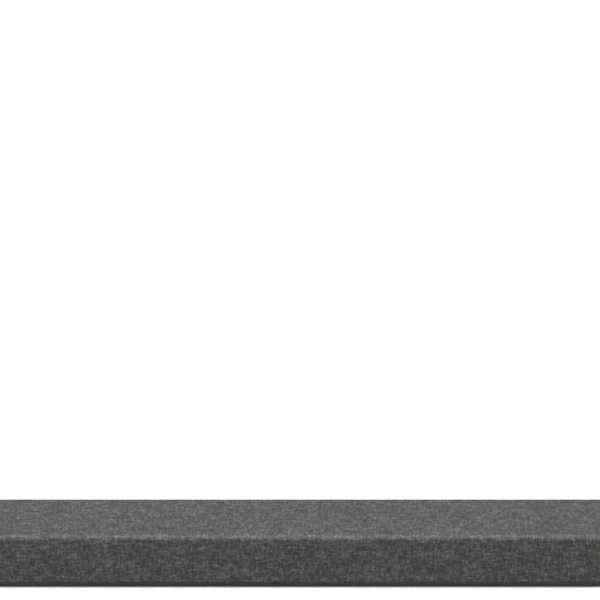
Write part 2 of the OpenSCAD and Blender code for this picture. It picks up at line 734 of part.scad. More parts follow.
// A component standing on a board, sunk a little into it so that it is soldered on
module part_on_board(x, y, size) {
    translate([x - size[0] / 2, y - size[1] / 2, board_top_z - 0.2]) cube([size[0], size[1], size[2] + 0.2]);
}

module can_on_board(x, y, r, h) {
    translate([x, y, board_top_z - 0.2]) cylinder(r = r, h = h + 0.2);
}

chip_x = main_board_x - 2;
chip_y = board_front_y + 24;
chip_h = 2;
transformer_x = power_board_x + 6;
transformer_y = board_front_y + 22;
module_x = main_board_x + 48;
module_y = board_front_y + 24;
speaker_plug_x = main_board_x + 55;
display_plug_x = main_board_x - main_board_l / 2 + 18;
button_plug_x = main_board_x + main_board_l / 2 - 4;
button_plug_y = board_back_y - 13;
button_plug_d = 4;
ribbon_low = board_top_z + 0.4;
ribbon_w = 2.8;
ribbon_t = 0.5;

module main_board() {
    color(board_green) union() {
        board(main_board_x, main_board_l);
        part_on_board(chip_x, chip_y, [14, 14, chip_h]);                       // amplifier
        part_on_board(main_board_x - 36, board_front_y + 28, [10, 10, 1.2]);   // processor
        part_on_board(main_board_x - 34, board_front_y + 12, [7, 5, 1]);       // memory
        for (k = [0:3]) can_on_board(main_board_x - 18 + k * 11, board_front_y + 7, 4, 10);
        for (k = [0:3]) part_on_board(main_board_x + 30, board_front_y + 12 + k * 8, [7, 6.6, 4]);
        part_on_board(main_board_x - 52, board_front_y + 16, [6, 14, 6]);      // plug from the power board
        part_on_board(speaker_plug_x, board_front_y + 12, [6, 10, 6]);         // speaker plug
        part_on_board(display_plug_x, board_front_y + 6.2, [16, 4, 3]);        // plug to the display
        part_on_board(button_plug_x, button_plug_y, [6, 9, 3.6]);              // plug to the buttons
    }
}

module heat_sink() {
    foot_z = board_top_z + chip_h;
    sink_l = 36;
    sink_d = 26;
    fins = 8;
    fin_t = 1.4;
    color([0.55, 0.56, 0.58]) difference() {
        translate([chip_x - sink_l / 2, chip_y - sink_d / 2, foot_z]) cube([sink_l, sink_d, 15]);
        for (i = [0:fins - 2])
            translate([chip_x - sink_l / 2 + fin_t + i * (sink_l - fin_t) / (fins - 1), chip_y - sink_d, foot_z + 3])
                cube([(sink_l - fin_t) / (fins - 1) - fin_t, 2 * sink_d, 15]);
    }
}

module power_board() {
    color(board_green) union() {
        board(power_board_x, power_board_l);
        can_on_board(power_board_x + 40, board_front_y + 14, 8, 22);
        can_on_board(power_board_x + 40, board_front_y + 36, 5, 16);
        can_on_board(power_board_x + 29, board_front_y + 48, 4, 12);
        part_on_board(power_board_x - 20, board_front_y + 10, [18, 12, 15]);   // mains filter choke
        part_on_board(power_board_x - 42, board_front_y + 12, [14, 6, 11]);    // film capacitor
        part_on_board(power_board_x + 2, board_front_y + 46, [22, 3, 16]);     // switching device on its plate
        part_on_board(power_board_x + 50, board_front_y + 26, [6, 12, 6]);     // plug to the main board
    }
}

module transformer() {
    z = board_top_z;
    color([0.85, 0.7, 0.3]) translate([transformer_x, transformer_y, z]) union() {
        translate([-14, -10, 2]) difference() {
            cube([28, 20, 18]);
            translate([5, -cut, 4]) cube([18, 20 + 2 * cut, 10]);
        }
        translate([-12, -12, 0]) cube([24, 24, 2.4]);
        translate([0, 0, 11]) cube([19, 24, 11], center = true);
    }
}

module wireless_module() {
    color([0.06, 0.12, 0.26]) translate([module_x, module_y, board_top_z]) union() {
        translate([-9, -0.8, 0]) cube([18, 1.6, 22]);
        translate([-6, -2.6, 2]) cube([12, 2, 11]);
        for (k = [0:3]) translate([-7.5 + k * 4, -1.2, 15 + (k % 2)]) cube([2.6, 0.6, 5]);
    }
}

// ---- Display ----

window_plate_t = 1.2;
led_t = 4;
display_w = 84;
display_h = window_z + 9 - floor_z;
display_y = grille_back_y + window_plate_t + 0.2 + led_t + board_t / 2;

module display_window() {
    color([0.03, 0.03, 0.03, 0.9]) translate([0, 0, window_z]) union() {
        plate_y(grille_back_y, grille_back_y + window_plate_t)
            polygon(rounded(-window_w / 2 - 4, -window_h / 2 - 2.5, window_w / 2 + 4, window_h / 2 + 2.5, [2, 2, 2, 2]));
        plate_y(grille_back_y - 1.6, grille_back_y + 0.5) polygon(slot(window_w - 2 * slide_fit, window_h - 2 * slide_fit));
    }
}

module display_board() {
    color(board_green) union() {
        block([-display_w / 2, display_y - board_t / 2, floor_z], [display_w / 2, display_y + board_t / 2, floor_z + display_h]);
        translate([0, display_y - board_t / 2 - led_t / 2 + 0.1, window_z]) cube([48, led_t + 0.2, 10], center = true);
        // Infra-red receiver beside the digits
        bore_y(27.5, window_z, 2.4, display_y - board_t / 2 - led_t, display_y);
        translate([display_plug_x - 8, display_y + board_t / 2 - 0.1, floor_z + 15]) cube([16, 3.1, 4]);
    }
}

// ---- Sockets ----

hdmi_w = 15;
hdmi_h = 5.6;
usb_w = 13.2;
usb_h = 6.2;
optical_w = 13;
optical_h = 12.6;
aux_collar_r = 3.4;
aux_z = board_top_z + 5;
aux_r = 1.8;
aux_l = 13;
mains_w = 22;
mains_h = 13;
mains_z = board_top_z + mains_h / 2 + 0.5;
sheet_t = 0.4;
socket_depth = 12;

// Outline of the flat-topped socket with two bevelled lower corners, grown by grow
function hdmi_outline(grow) = let (w = hdmi_w / 2 + grow, h = hdmi_h / 2 + grow, b = 1.6)
    [[-w, h], [-w, -h + b + 0.4], [-w + b, -h], [w - b, -h], [w, -h + b + 0.4], [w, h]];

module hdmi_socket() {
    color(steel) union() {
        translate([hdmi_x, 0, board_top_z + hdmi_h / 2]) {
            difference() {
                plate_y(socket_out_y - socket_depth, socket_out_y) polygon(hdmi_outline(0));
                plate_y(socket_out_y - socket_depth + 1.2, socket_out_y + cut) polygon(hdmi_outline(-sheet_t));
            }
            block([-5.6, socket_out_y - socket_depth + 1, 0.2], [5.6, socket_out_y - 1.4, 1.1]);
        }
    }
}

module usb_socket() {
    color(steel) union() {
        translate([usb_x, 0, board_top_z + usb_h / 2]) {
            difference() {
                plate_y(socket_out_y - socket_depth, socket_out_y) square([usb_w, usb_h], center = true);
                plate_y(socket_out_y - socket_depth + 1.2, socket_out_y + cut)
                    square([usb_w - 2 * sheet_t, usb_h - 2 * sheet_t], center = true);
            }
            block([-5.5, socket_out_y - socket_depth + 1, 0.5], [5.5, socket_out_y - 1, 2.2]);
        }
    }
}

// Optical socket: a body with a square mouth that its hinged shutter closes
mouth_w = 9;
mouth_h = 9.8;
mouth_low = 1.6;
shutter_t = 0.8;
shutter_in = 1.2;
shutter_pin_z = board_top_z + mouth_low + mouth_h - 1;
shutter_pin_y = socket_out_y - shutter_in;
pin_r = 0.6;
pin_reach = 0.8;

module optical_socket() {
    low = board_top_z + mouth_low;
    color([0.05, 0.05, 0.055]) difference() {
        block([optical_x - optical_w / 2, socket_out_y - 14, board_top_z],
            [optical_x + optical_w / 2, socket_out_y, board_top_z + optical_h]);
        block([optical_x - mouth_w / 2, socket_out_y - 11.4, low],
            [optical_x + mouth_w / 2, socket_out_y + cut, low + mouth_h]);
        translate([optical_x - mouth_w / 2 - pin_reach - fit, shutter_pin_y, shutter_pin_z]) rotate([0, 90, 0])
            cylinder(r = pin_r + touch, h = mouth_w + 2 * pin_reach + 2 * fit);
    }
}

module optical_shutter() {
    w = mouth_w - 2 * slide_fit;
    color([0.16, 0.16, 0.17]) translate([optical_x, shutter_pin_y, shutter_pin_z]) union() {
        translate([-w / 2, -shutter_t / 2, -(mouth_h - 1) + slide_fit]) cube([w, shutter_t, mouth_h - 1 - slide_fit]);
        translate([-mouth_w / 2 - pin_reach, 0, 0]) rotate([0, 90, 0])
            cylinder(r = pin_r, h = mouth_w + 2 * pin_reach);
    }
}

module aux_socket() {
    color([0.07, 0.07, 0.075]) difference() {
        union() {
            block([aux_x - 4.5, socket_out_y - aux_l - 1.5, board_top_z], [aux_x + 4.5, bay_floor_y - bay_wall - fit, aux_z + 4.5]);
            bore_y(aux_x, aux_z, aux_collar_r, bay_floor_y - bay_wall - cut, socket_out_y);
        }
        bore_y(aux_x, aux_z, aux_r, socket_out_y - aux_l, socket_out_y + cut);
    }
}

// Two-pin mains inlet: a body with a waisted well and two round pins
pin_pitch = 8.6;
mains_pin_r = 1.2;
well_r = 4.1;
well_depth = 13;

module mains_socket() {
    color([0.05, 0.05, 0.05]) union() {
        difference() {
            union() {
                translate([mains_bay_x, 0, mains_z]) plate_y(bay_floor_y - 15, socket_out_y)
                    polygon(rounded(-mains_w / 2, -mains_h / 2, mains_w / 2, mains_h / 2, [3, 3, 3, 3]));
                block([mains_bay_x - 8, bay_floor_y - 15, board_top_z], [mains_bay_x + 8, bay_floor_y - 4, mains_z]);
            }
            for (s = [-1, 1]) bore_y(mains_bay_x + s * pin_pitch / 2, mains_z, well_r, socket_out_y - well_depth, socket_out_y + cut);
            block([mains_bay_x - pin_pitch / 2, socket_out_y - well_depth, mains_z - well_r + 0.5],
                [mains_bay_x + pin_pitch / 2, socket_out_y + cut, mains_z + well_r - 0.5]);
        }
        for (s = [-1, 1]) bore_y(mains_bay_x + s * pin_pitch / 2, mains_z, mains_pin_r,
            socket_out_y - well_depth - 1, socket_out_y - 2.5);
    }
}

// ---- Buttons ----

module button_board() {
    color(board_green) union() {
        difference() {
            block([button_board_x - board_t, -button_board_l / 2, button_board_low],
                [button_board_x, button_board_l / 2, button_board_top]);
            for (dy = [-1, 1]) translate([button_board_x - board_t - cut, dy * button_post_y, mid_z])
                rotate([0, 90, 0]) cylinder(r = small_screw_r + touch, h = board_t + 2 * cut);
        }
        // Four switches, each with a round plunger
        for (i = [0:3]) translate([button_board_x - 0.1, button_y(i), mid_z]) {
            translate([0, -3, -3]) cube([3.6, 6, 6]);
            rotate([0, 90, 0]) cylinder(r = 1.7, h = switch_h + 0.1);
        }
        block([button_board_x - board_t - button_plug_d, -8, ribbon_low - 0.4],
            [button_board_x - board_t + 0.1, 8, ribbon_low + ribbon_w + 0.4]);
    }
}

// One button: a round face, a flange that keeps it in the cap, and a raised mark on its face
module button(i) {
    color([0.2, 0.2, 0.205]) translate([0, button_y(i), mid_z]) rotate([0, 90, 0]) union() {
        translate([0, 0, cap_inner_x - touch - button_flange_t]) cylinder(r = button_r + 1.2, h = button_flange_t);
        translate([0, 0, cap_inner_x - 0.5]) cylinder(r = button_r, h = button_face_x - cap_inner_x + 0.5 - 0.4);
        translate([0, 0, button_face_x - 0.4]) cylinder(r1 = button_r, r2 = button_r - 0.4, h = 0.4, $fn = 48);
    }
}

// ---- Feet, inserts, wiring and label ----

module feet() {
    color(rubber) for (p = foot_places()) translate([p[0], p[1], 0])
        linear_extrude(foot_h + foot_sink) polygon(slot(foot_l, foot_w));
}

module wall_inserts() {
    color(brass) for (s = [-1, 1]) translate([s * mount_pitch / 2, back_y, mid_z]) rotate([90, 0, 0]) difference() {
        cylinder(r = 3, h = 8);
        translate([0, 0, -cut]) cylinder(r = insert_bore_r, h = 8 + 2 * cut);
    }
}

wire_r = 1.3;

// Sleeved pairs from the plug on the main board to each box, and on from one driver to the next
module speaker_wires() {
    wire_z = box_z + box_h - 12;
    plug = [speaker_plug_x, board_front_y + 12, board_top_z + 6.3];
    over = [baffle_y + 14, box_mid_z + 17.7];
    color([0.55, 0.1, 0.08]) {
        for (s = [-1, 1]) {
            inner_x = s * (box_mid_x - driver_pitch / 2);
            outer_x = s * (box_mid_x + driver_pitch / 2);
            start = s > 0
                ? [plug + [0, 2.5, 0], plug + [0, 2.5, 8], plug + [2, 10, 19]]
                : [plug + [-1, -2.5, 0], plug + [-1, -2.5, 9], plug + [-8, 4, 20], [96, 2, wire_z + 1],
                    [30, 6, wire_z + 3], [-40, 6, wire_z + 3], [-110, 2, wire_z + 1]];
            tube(curve(concat(start, [for (d = [-8, -3, 3, 8]) [s * (box_inner_x + d), 0, wire_z]], [
                [inner_x - s * 28, -10, wire_z + 3],
                [inner_x - s * 12, over[0] + 0.5, over[1] + 0.6], [inner_x - s * 3, over[0], over[1]]])), wire_r);
            tube(curve([
                [inner_x + s * 1, over[0], over[1]], [inner_x + s * 12, over[0] + 0.5, over[1] + 0.6],
                [box_mid_x * s, -10, box_z + box_h - 6], [outer_x - s * 12, over[0] + 0.5, over[1] + 0.6],
                [outer_x - s * 2, over[0], over[1]]]), wire_r);
        }
    }
}

// Flat cables from the main board to the display and, behind the right speaker box, to the buttons
module ribbon_cables() {
    display_back = display_y + board_t / 2 + 3.05;
    lane_y = box_back_y + 2.6;
    start_x = button_plug_x + 3.05;
    end_x = button_board_x - board_t - button_plug_d / 2;
    color([0.75, 0.75, 0.72]) {
        translate([display_plug_x - 6, 0, 0]) rotate([90, 0, 90]) linear_extrude(12)
            polygon(strip(curve([[display_back, floor_z + 17], [display_back + 2.6, floor_z + 17],
                [board_front_y + 6, floor_z + 15.4], [board_front_y + 6.2, board_top_z + 3.05]]), ribbon_t));
        translate([0, 0, ribbon_low]) linear_extrude(ribbon_w) polygon(strip(curve([
            [start_x, button_plug_y], [start_x + 4, button_plug_y + 1], [box_inner_x - 5, lane_y - 14],
            [box_inner_x - 1, lane_y - 3], [box_inner_x + 8, lane_y], [box_inner_x + 30, lane_y],
            [box_mid_x, lane_y], [box_outer_x - 20, lane_y], [box_outer_x - 3, lane_y],
            [(box_outer_x + end_x) / 2, lane_y - 5], [end_x, lane_y - 16], [end_x, 8.05]], 3), ribbon_t));
    }
}

module rating_label() {
    color([0.75, 0.76, 0.77]) translate([label_x, 0, base_z + touch]) linear_extrude(0.3 - touch)
        polygon(rounded(-label_w / 2, -label_h / 2, label_w / 2, label_h / 2, [2, 2, 2, 2]));
}

// ---- Assembly ----

module show(name) {
    children();
}

show("bottom_pan") bottom_pan();
show("back_panel_left") back_panel(-shell_end, -panel_joint_x - seam / 2, -1);
show("back_panel_middle") back_panel(-panel_joint_x + seam / 2, panel_joint_x - seam / 2, 0);
show("back_panel_right") back_panel(panel_joint_x + seam / 2, shell_end, 1);
show("front_grille") front_grille();
show("top_cover") top_cover();
show("grille_cloth") grille_cloth();
show("end_cap_left") end_cap(-1);
show("end_cap_right") end_cap(1);
show("jack_bay") jack_bay();
show("mains_bay") mains_bay();
show("speaker_box_left") speaker_box(-1);
show("speaker_box_right") speaker_box(1);
show("baffle_left") baffle(-1);
show("baffle_right") baffle(1);
show("bass_port_left") bass_port(-1);
show("bass_port_right") bass_port(1);
for (i = [0:3]) {
    show(str(DRIVERS[i], "_basket")) basket(i);
    show(str(DRIVERS[i], "_magnet")) magnet(i);
    show(str(DRIVERS[i], "_cone")) cone(i);
    show(str(DRIVERS[i], "_surround")) surround(i);
    show(BUTTONS[i]) button(i);
}
show("spiders") spiders();
show("driver_gaskets") driver_gaskets();
show("main_board") main_board();
show("heat_sink") heat_sink();
show("power_board") power_board();
show("transformer") transformer();
show("wireless_module") wireless_module();
show("display_board") display_board();
show("display_window") display_window();
show("button_board") button_board();
show("mains_socket") mains_socket();
show("hdmi_socket") hdmi_socket();
show("usb_socket") usb_socket();
show("optical_socket") optical_socket();
show("optical_shutter") optical_shutter();
show("aux_socket") aux_socket();
show("feet") feet();
show("wall_inserts") wall_inserts();
show("housing_screws") housing_screws();
show("small_screws") small_screws();
show("speaker_wires") speaker_wires();
show("ribbon_cables") ribbon_cables();
show("rating_label") rating_label();
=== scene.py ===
import json
import math
import bmesh
import bpy
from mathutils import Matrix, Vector


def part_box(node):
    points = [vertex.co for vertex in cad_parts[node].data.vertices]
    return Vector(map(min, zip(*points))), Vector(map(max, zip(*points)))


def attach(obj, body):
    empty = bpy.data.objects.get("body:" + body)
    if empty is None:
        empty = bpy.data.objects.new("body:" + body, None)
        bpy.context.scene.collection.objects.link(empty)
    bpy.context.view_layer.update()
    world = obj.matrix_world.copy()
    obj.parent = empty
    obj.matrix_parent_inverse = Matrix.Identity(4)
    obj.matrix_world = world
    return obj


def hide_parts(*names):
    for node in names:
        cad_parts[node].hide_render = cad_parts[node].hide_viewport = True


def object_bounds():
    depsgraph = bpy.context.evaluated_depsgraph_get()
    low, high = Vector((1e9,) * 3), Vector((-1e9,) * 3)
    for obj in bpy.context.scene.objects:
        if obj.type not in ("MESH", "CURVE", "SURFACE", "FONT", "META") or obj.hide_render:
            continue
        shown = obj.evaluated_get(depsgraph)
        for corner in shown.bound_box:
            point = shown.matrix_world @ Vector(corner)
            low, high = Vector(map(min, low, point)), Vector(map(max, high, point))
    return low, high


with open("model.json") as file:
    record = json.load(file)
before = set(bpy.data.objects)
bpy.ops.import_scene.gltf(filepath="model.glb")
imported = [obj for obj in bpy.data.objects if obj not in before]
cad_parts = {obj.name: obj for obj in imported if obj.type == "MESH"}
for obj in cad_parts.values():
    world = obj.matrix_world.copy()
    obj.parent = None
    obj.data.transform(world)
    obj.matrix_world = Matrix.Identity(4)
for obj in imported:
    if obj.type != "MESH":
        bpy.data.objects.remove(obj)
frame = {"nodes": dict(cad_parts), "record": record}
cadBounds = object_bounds()
nodes, record = frame["nodes"], frame["record"]
mm = 0.001

# Sizes of the shell that more than one piece is fitted to, in metres
shell = {
    "wall": 2.4 * mm,
    "clothThickness": 0.8 * mm,
    "frontEdgeRadius": 6 * mm,
    "otherEdgeRadius": 3 * mm,
    "capRounding": 2 * mm,
    "seam": 0.2 * mm,
}
barLow, barHigh = (Vector(c) for c in cadBounds)
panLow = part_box("bottom_pan")[0]


def arcPoints(centre, radius, start, end, steps):
    return [(centre[0] + radius * math.cos(math.radians(start + (end - start) * i / steps)),
             centre[1] + radius * math.sin(math.radians(start + (end - start) * i / steps)))
            for i in range(steps + 1)]


def roundedStep(radius, degrees):
    # part of the way round a rounded edge: how far in from its start and from its end
    angle = math.radians(degrees)
    return radius * (1 - math.cos(angle)), radius * (1 - math.sin(angle))


def roundedOutline(low, high, radii, steps):
    # radii run anticlockwise from the lower left corner
    return (arcPoints((low[0] + radii[0], low[1] + radii[0]), radii[0], 180, 270, steps)
            + arcPoints((high[0] - radii[1], low[1] + radii[1]), radii[1], 270, 360, steps)
            + arcPoints((high[0] - radii[2], high[1] - radii[2]), radii[2], 0, 90, steps)
            + arcPoints((low[0] + radii[3], high[1] - radii[3]), radii[3], 90, 180, steps))


def slotOutline(length, width, steps):
    half = (length - width) / 2
    return arcPoints((half, 0), width / 2, -90, 90, steps) + arcPoints((-half, 0), width / 2, 90, 270, steps)


def circleOutline(radius, steps):
    return arcPoints((0, 0), radius, 0, 360 - 360 / steps, steps - 1)


def addLoop(mesh, points):
    return [mesh.verts.new(p) for p in points]


def bridgeLoops(mesh, loops):
    for a, b in zip(loops, loops[1:]):
        for i in range(len(a)):
            j = (i + 1) % len(a)
            mesh.faces.new((a[i], a[j], b[j], b[i]))


def fillFlat(mesh, loops):
    # fills a flat region whose outer edge and holes are the loops
    edges = []
    for loop in loops:
        for i, vert in enumerate(loop):
            other = loop[(i + 1) % len(loop)]
            edges.append(mesh.edges.get((vert, other)) or mesh.edges.new((vert, other)))
    bmesh.ops.triangle_fill(mesh, use_beauty=True, edges=edges)


def makePiece(name, mesh, material, body="bar", sharpAngle=32):
    bmesh.ops.remove_doubles(mesh, verts=mesh.verts, dist=1e-7)
    bmesh.ops.recalc_face_normals(mesh, faces=mesh.faces)
    for face in mesh.faces:
        face.smooth = True
    for edge in mesh.edges:
        edge.smooth = len(edge.link_faces) == 2 and edge.calc_face_angle(0) < math.radians(sharpAngle)
    data = bpy.data.meshes.new(name)
    mesh.to_mesh(data)
    mesh.free()
    piece = bpy.data.objects.new(name, data)
    bpy.context.scene.collection.objects.link(piece)
    data.materials.append(material)
    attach(piece, body)
    return piece


def turn(mesh, profile, place, steps=64, closed=False):
    # turns a profile of (distance along the axis, radius) about it; place maps (along, u, v) to a point
    rings, previous = [], None
    for along, radius in profile:
        if radius < 1e-9:
            ring = [mesh.verts.new(place(along, 0, 0))]
        else:
            ring = addLoop(mesh, [place(along, u, v) for u, v in circleOutline(radius, steps)])
        if previous:
            if len(previous) == 1 and len(ring) > 1:
                for i in range(steps):
                    mesh.faces.new((previous[0], ring[i], ring[(i + 1) % steps]))
            elif len(ring) == 1 and len(previous) > 1:
                for i in range(steps):
                    mesh.faces.new((ring[0], previous[(i + 1) % steps], previous[i]))
            else:
                bridgeLoops(mesh, [previous, ring])
        rings.append(ring)
        previous = ring
    if closed:
        bridgeLoops(mesh, [rings[-1], rings[0]])


def raisedForm(mesh, outline, place, height, bevel, sunk):
    # a low form with a rounded top edge and its foot sunk in; place maps (u, v, height) to a point
    loops = [addLoop(mesh, [place(u, v, -sunk) for u, v in outline])]
    for degrees in (0, 22.5, 45, 67.5, 90):
        inset, drop = roundedStep(bevel, degrees)
        loops.append(addLoop(mesh, [place(*insetPoint(outline, i, inset), height - drop)
                                    for i in range(len(outline))]))
    bridgeLoops(mesh, loops)
    fillFlat(mesh, [loops[-1]])
    fillFlat(mesh, [loops[0]])


def insetPoint(outline, index, inset):
    # moves one point of an anticlockwise outline inwards
    before, here, after = (Vector(outline[(index + d) % len(outline)]) for d in (-1, 0, 1))
    a, b = (here - before).normalized(), (after - here).normalized()
    normal = Vector((-(a.y + b.y), a.x + b.x))
    if normal.length < 1e-6:
        normal = Vector((-a.y, a.x))
    normal.normalize()
    spread = max(normal.dot(Vector((-a.y, a.x))), 0.5)
    moved = here + normal * inset / spread
    return moved.x, moved.y


def put(tree, kind, sockets=None, **settings):
    node = tree.nodes.new("ShaderNode" + kind)
    for key, value in settings.items():
        setattr(node, key, value)
    for key, value in (sockets or {}).items():
        if isinstance(value, bpy.types.NodeSocket):
            tree.links.new(value, node.inputs[key])
        else:
            node.inputs[key].default_value = value
    return node


def calc(tree, operation, *values):
    return put(tree, "Math", dict(enumerate(values)), operation=operation).outputs[0]


def remap(tree, value, low, high, newLow, newHigh):
    return put(tree, "MapRange", {"Value": value, "From Min": low, "From Max": high,
                                  "To Min": newLow, "To Max": newHigh}).outputs["Result"]


def mixColours(tree, factor, first, second):
    return put(tree, "Mix", {0: factor, 6: first, 7: second}, data_type="RGBA").outputs[2]


def mixValues(tree, factor, first, second):
    return put(tree, "Mix", {0: factor, 2: first, 3: second}, data_type="FLOAT").outputs[0]


def grey(value, warmth=0.0):
    return (value * (1 + warmth), value, value * (1 - warmth), 1)


def newGroup(name, inputs, outputs):
    group = bpy.data.node_groups.new(name, "ShaderNodeTree")
    for label, kind, default in inputs:
        socket = group.interface.new_socket(name=label, in_out="INPUT", socket_type="NodeSocket" + kind)
        if default is not None:
            socket.default_value = default
    for label, kind in outputs:
        group.interface.new_socket(name=label, in_out="OUTPUT", socket_type="NodeSocket" + kind)
    start = group.nodes.new("NodeGroupInput")
    end = group.nodes.new("NodeGroupOutput")
    return group, start.outputs, end.inputs


def useGroup(tree, group, values):
    return put(tree, "Group", values, node_tree=group).outputs


def objectPlace(tree):
    return tree.nodes.new("ShaderNodeTexCoord").outputs["Object"]


def newMaterial(name):
    material = bpy.data.materials.new(name)
    material.use_nodes = True
    tree = material.node_tree
    tree.nodes.clear()
    shader = tree.nodes.new("ShaderNodeBsdfPrincipled")
    output = tree.nodes.new("ShaderNodeOutputMaterial")
    tree.links.new(shader.outputs[0], output.inputs["Surface"])
    return material, tree, shader


def addBump(tree, shader, height, distance, strength):
    bump = put(tree, "Bump", {"Height": height, "Distance": distance, "Strength": strength})
    tree.links.new(bump.outputs[0], shader.inputs["Normal"])


def makeWeaveGroup():
    group, given, result = newGroup(
        "plainWeave",
        [("Place", "Vector", None), ("Pitch", "Float", 0.0006), ("Fleck Length", "Float", 0.003),
         ("Streak Length", "Float", 0.007), ("Streak Width", "Float", 0.0018), ("Streak Share", "Float", 0.6),
         ("Mottle", "Float", 0.3), ("Mottle Size", "Float", 0.0025), ("Cloudiness", "Float", 0.1),
         ("Fibre Contrast", "Float", 0.5), ("Waver", "Float", 0.3), ("Seed", "Float", 1.0)],
        [("Height", "Float"), ("Tone", "Float"), ("Fibre", "Float")])
    waver = put(group, "TexNoise", {"Vector": given["Place"], "Scale": 160.0, "Detail": 1.0})
    shift = put(group, "VectorMath", {0: waver.outputs["Color"], 1: (0.5, 0.5, 0.5)}, operation="SUBTRACT")
    reach = calc(group, "MULTIPLY", given["Pitch"], given["Waver"])
    shift = put(group, "VectorMath", {0: shift.outputs[0], "Scale": reach}, operation="SCALE")
    place = put(group, "VectorMath", {0: given["Place"], 1: shift.outputs[0]}, operation="ADD")
    axes = put(group, "SeparateXYZ", {0: place.outputs[0]}).outputs
    across = calc(group, "DIVIDE", axes["X"], given["Pitch"])
    along = calc(group, "DIVIDE", axes["Y"], given["Pitch"])
    warpIndex, weftIndex = calc(group, "FLOOR", across), calc(group, "FLOOR", along)
    parity = calc(group, "MULTIPLY", calc(group, "FRACT", calc(
        group, "MULTIPLY", calc(group, "ADD", warpIndex, weftIndex), 0.5)), 2.0)
    side = calc(group, "SUBTRACT", 1.0, calc(group, "MULTIPLY", parity, 2.0))
    acrossWarp = calc(group, "SINE", calc(group, "MULTIPLY", calc(group, "FRACT", across), math.pi))
    acrossWeft = calc(group, "SINE", calc(group, "MULTIPLY", calc(group, "FRACT", along), math.pi))
    warpHeight = calc(group, "MULTIPLY", calc(group, "POWER", acrossWarp, 0.8), calc(
        group, "MULTIPLY_ADD", calc(group, "MULTIPLY", side, acrossWeft), 0.42, 0.58))
    weftHeight = calc(group, "MULTIPLY", calc(group, "POWER", acrossWeft, 0.8), calc(
        group, "MULTIPLY_ADD", calc(group, "MULTIPLY", side, acrossWarp), -0.42, 0.58))
    onTop = calc(group, "GREATER_THAN", warpHeight, weftHeight)
    # each thread carries its own run of light and dark flecks, and threads side by side share longer streaks
    tones = []
    for index, run, seed in ((warpIndex, axes["Y"], 0.0), (weftIndex, axes["X"], 17.3)):
        lot = calc(group, "ADD", given["Seed"], seed)
        own = put(group, "CombineXYZ", {"X": calc(group, "MULTIPLY", index, 3.71), "Z": lot,
                                        "Y": calc(group, "DIVIDE", run, given["Fleck Length"])})
        own = put(group, "TexNoise", {"Vector": own.outputs[0], "Scale": 1.0, "Detail": 2.0,
                                      "Roughness": 0.6})
        spread = calc(group, "DIVIDE", calc(group, "MULTIPLY", index, given["Pitch"]), given["Streak Width"])
        shared = put(group, "CombineXYZ", {"X": spread, "Z": calc(group, "ADD", lot, 5.1),
                                           "Y": calc(group, "DIVIDE", run, given["Streak Length"])})
        shared = put(group, "TexNoise", {"Vector": shared.outputs[0], "Scale": 1.0, "Detail": 3.0,
                                         "Roughness": 0.55})
        tones.append(mixValues(group, given["Streak Share"], own.outputs[0], shared.outputs[0]))
    tone = mixValues(group, onTop, tones[1], tones[0])
    # fibres twist along whichever thread is on top
    over, run = mixValues(group, onTop, along, across), mixValues(group, onTop, across, along)
    fibrePlace = put(group, "CombineXYZ", {"X": calc(group, "MULTIPLY_ADD", over, 7.0, calc(
        group, "MULTIPLY", run, 2.6)), "Y": calc(group, "MULTIPLY", run, 0.9), "Z": tone})
    fibre = put(group, "TexNoise", {"Vector": fibrePlace.outputs[0], "Scale": 1.0, "Detail": 2.0,
                                    "Roughness": 0.6})
    height = calc(group, "MULTIPLY_ADD", fibre.outputs[0], 0.3, calc(
        group, "MAXIMUM", warpHeight, weftHeight))
    # spots and slow clouds of lighter yarn run over all threads
    spots = put(group, "TexNoise", {"Vector": given["Place"], "Detail": 2.0, "Roughness": 0.6,
                                    "Scale": calc(group, "DIVIDE", 1.0, given["Mottle Size"])})
    clouds = put(group, "TexNoise", {"Vector": given["Place"], "Scale": 22.0, "Detail": 2.0})
    for part, amount in ((spots, "Mottle"), (fibre, "Fibre Contrast"), (clouds, "Cloudiness")):
        swing = calc(group, "SUBTRACT", part.outputs[0], 0.5)
        tone = calc(group, "MULTIPLY_ADD", swing, given[amount], tone)
    group.links.new(height, result["Height"])
    group.links.new(tone, result["Tone"])
    group.links.new(fibre.outputs[0], result["Fibre"])
    return group


def makeGrainGroup():
    group, given, result = newGroup(
        "mouldGrain",
        [("Place", "Vector", None), ("Grain Size", "Float", 0.0004), ("Blotch Size", "Float", 0.03)],
        [("Height", "Float"), ("Blotch", "Float"), ("Speck", "Float")])
    grainScale = calc(group, "DIVIDE", 1.0, given["Grain Size"])
    cells = put(group, "TexVoronoi", {"Vector": given["Place"], "Scale": grainScale}, feature="SMOOTH_F1")
    fine = put(group, "TexNoise", {"Vector": given["Place"], "Scale": grainScale, "Detail": 2.0})
    blotch = put(group, "TexNoise", {"Vector": given["Place"], "Detail": 3.0,
                                     "Scale": calc(group, "DIVIDE", 1.0, given["Blotch Size"])})
    height = calc(group, "MULTIPLY_ADD", cells.outputs["Distance"], 0.7, calc(
        group, "MULTIPLY", fine.outputs[0], 0.5))
    group.links.new(height, result["Height"])
    group.links.new(blotch.outputs[0], result["Blotch"])
    group.links.new(fine.outputs[0], result["Speck"])
    return group


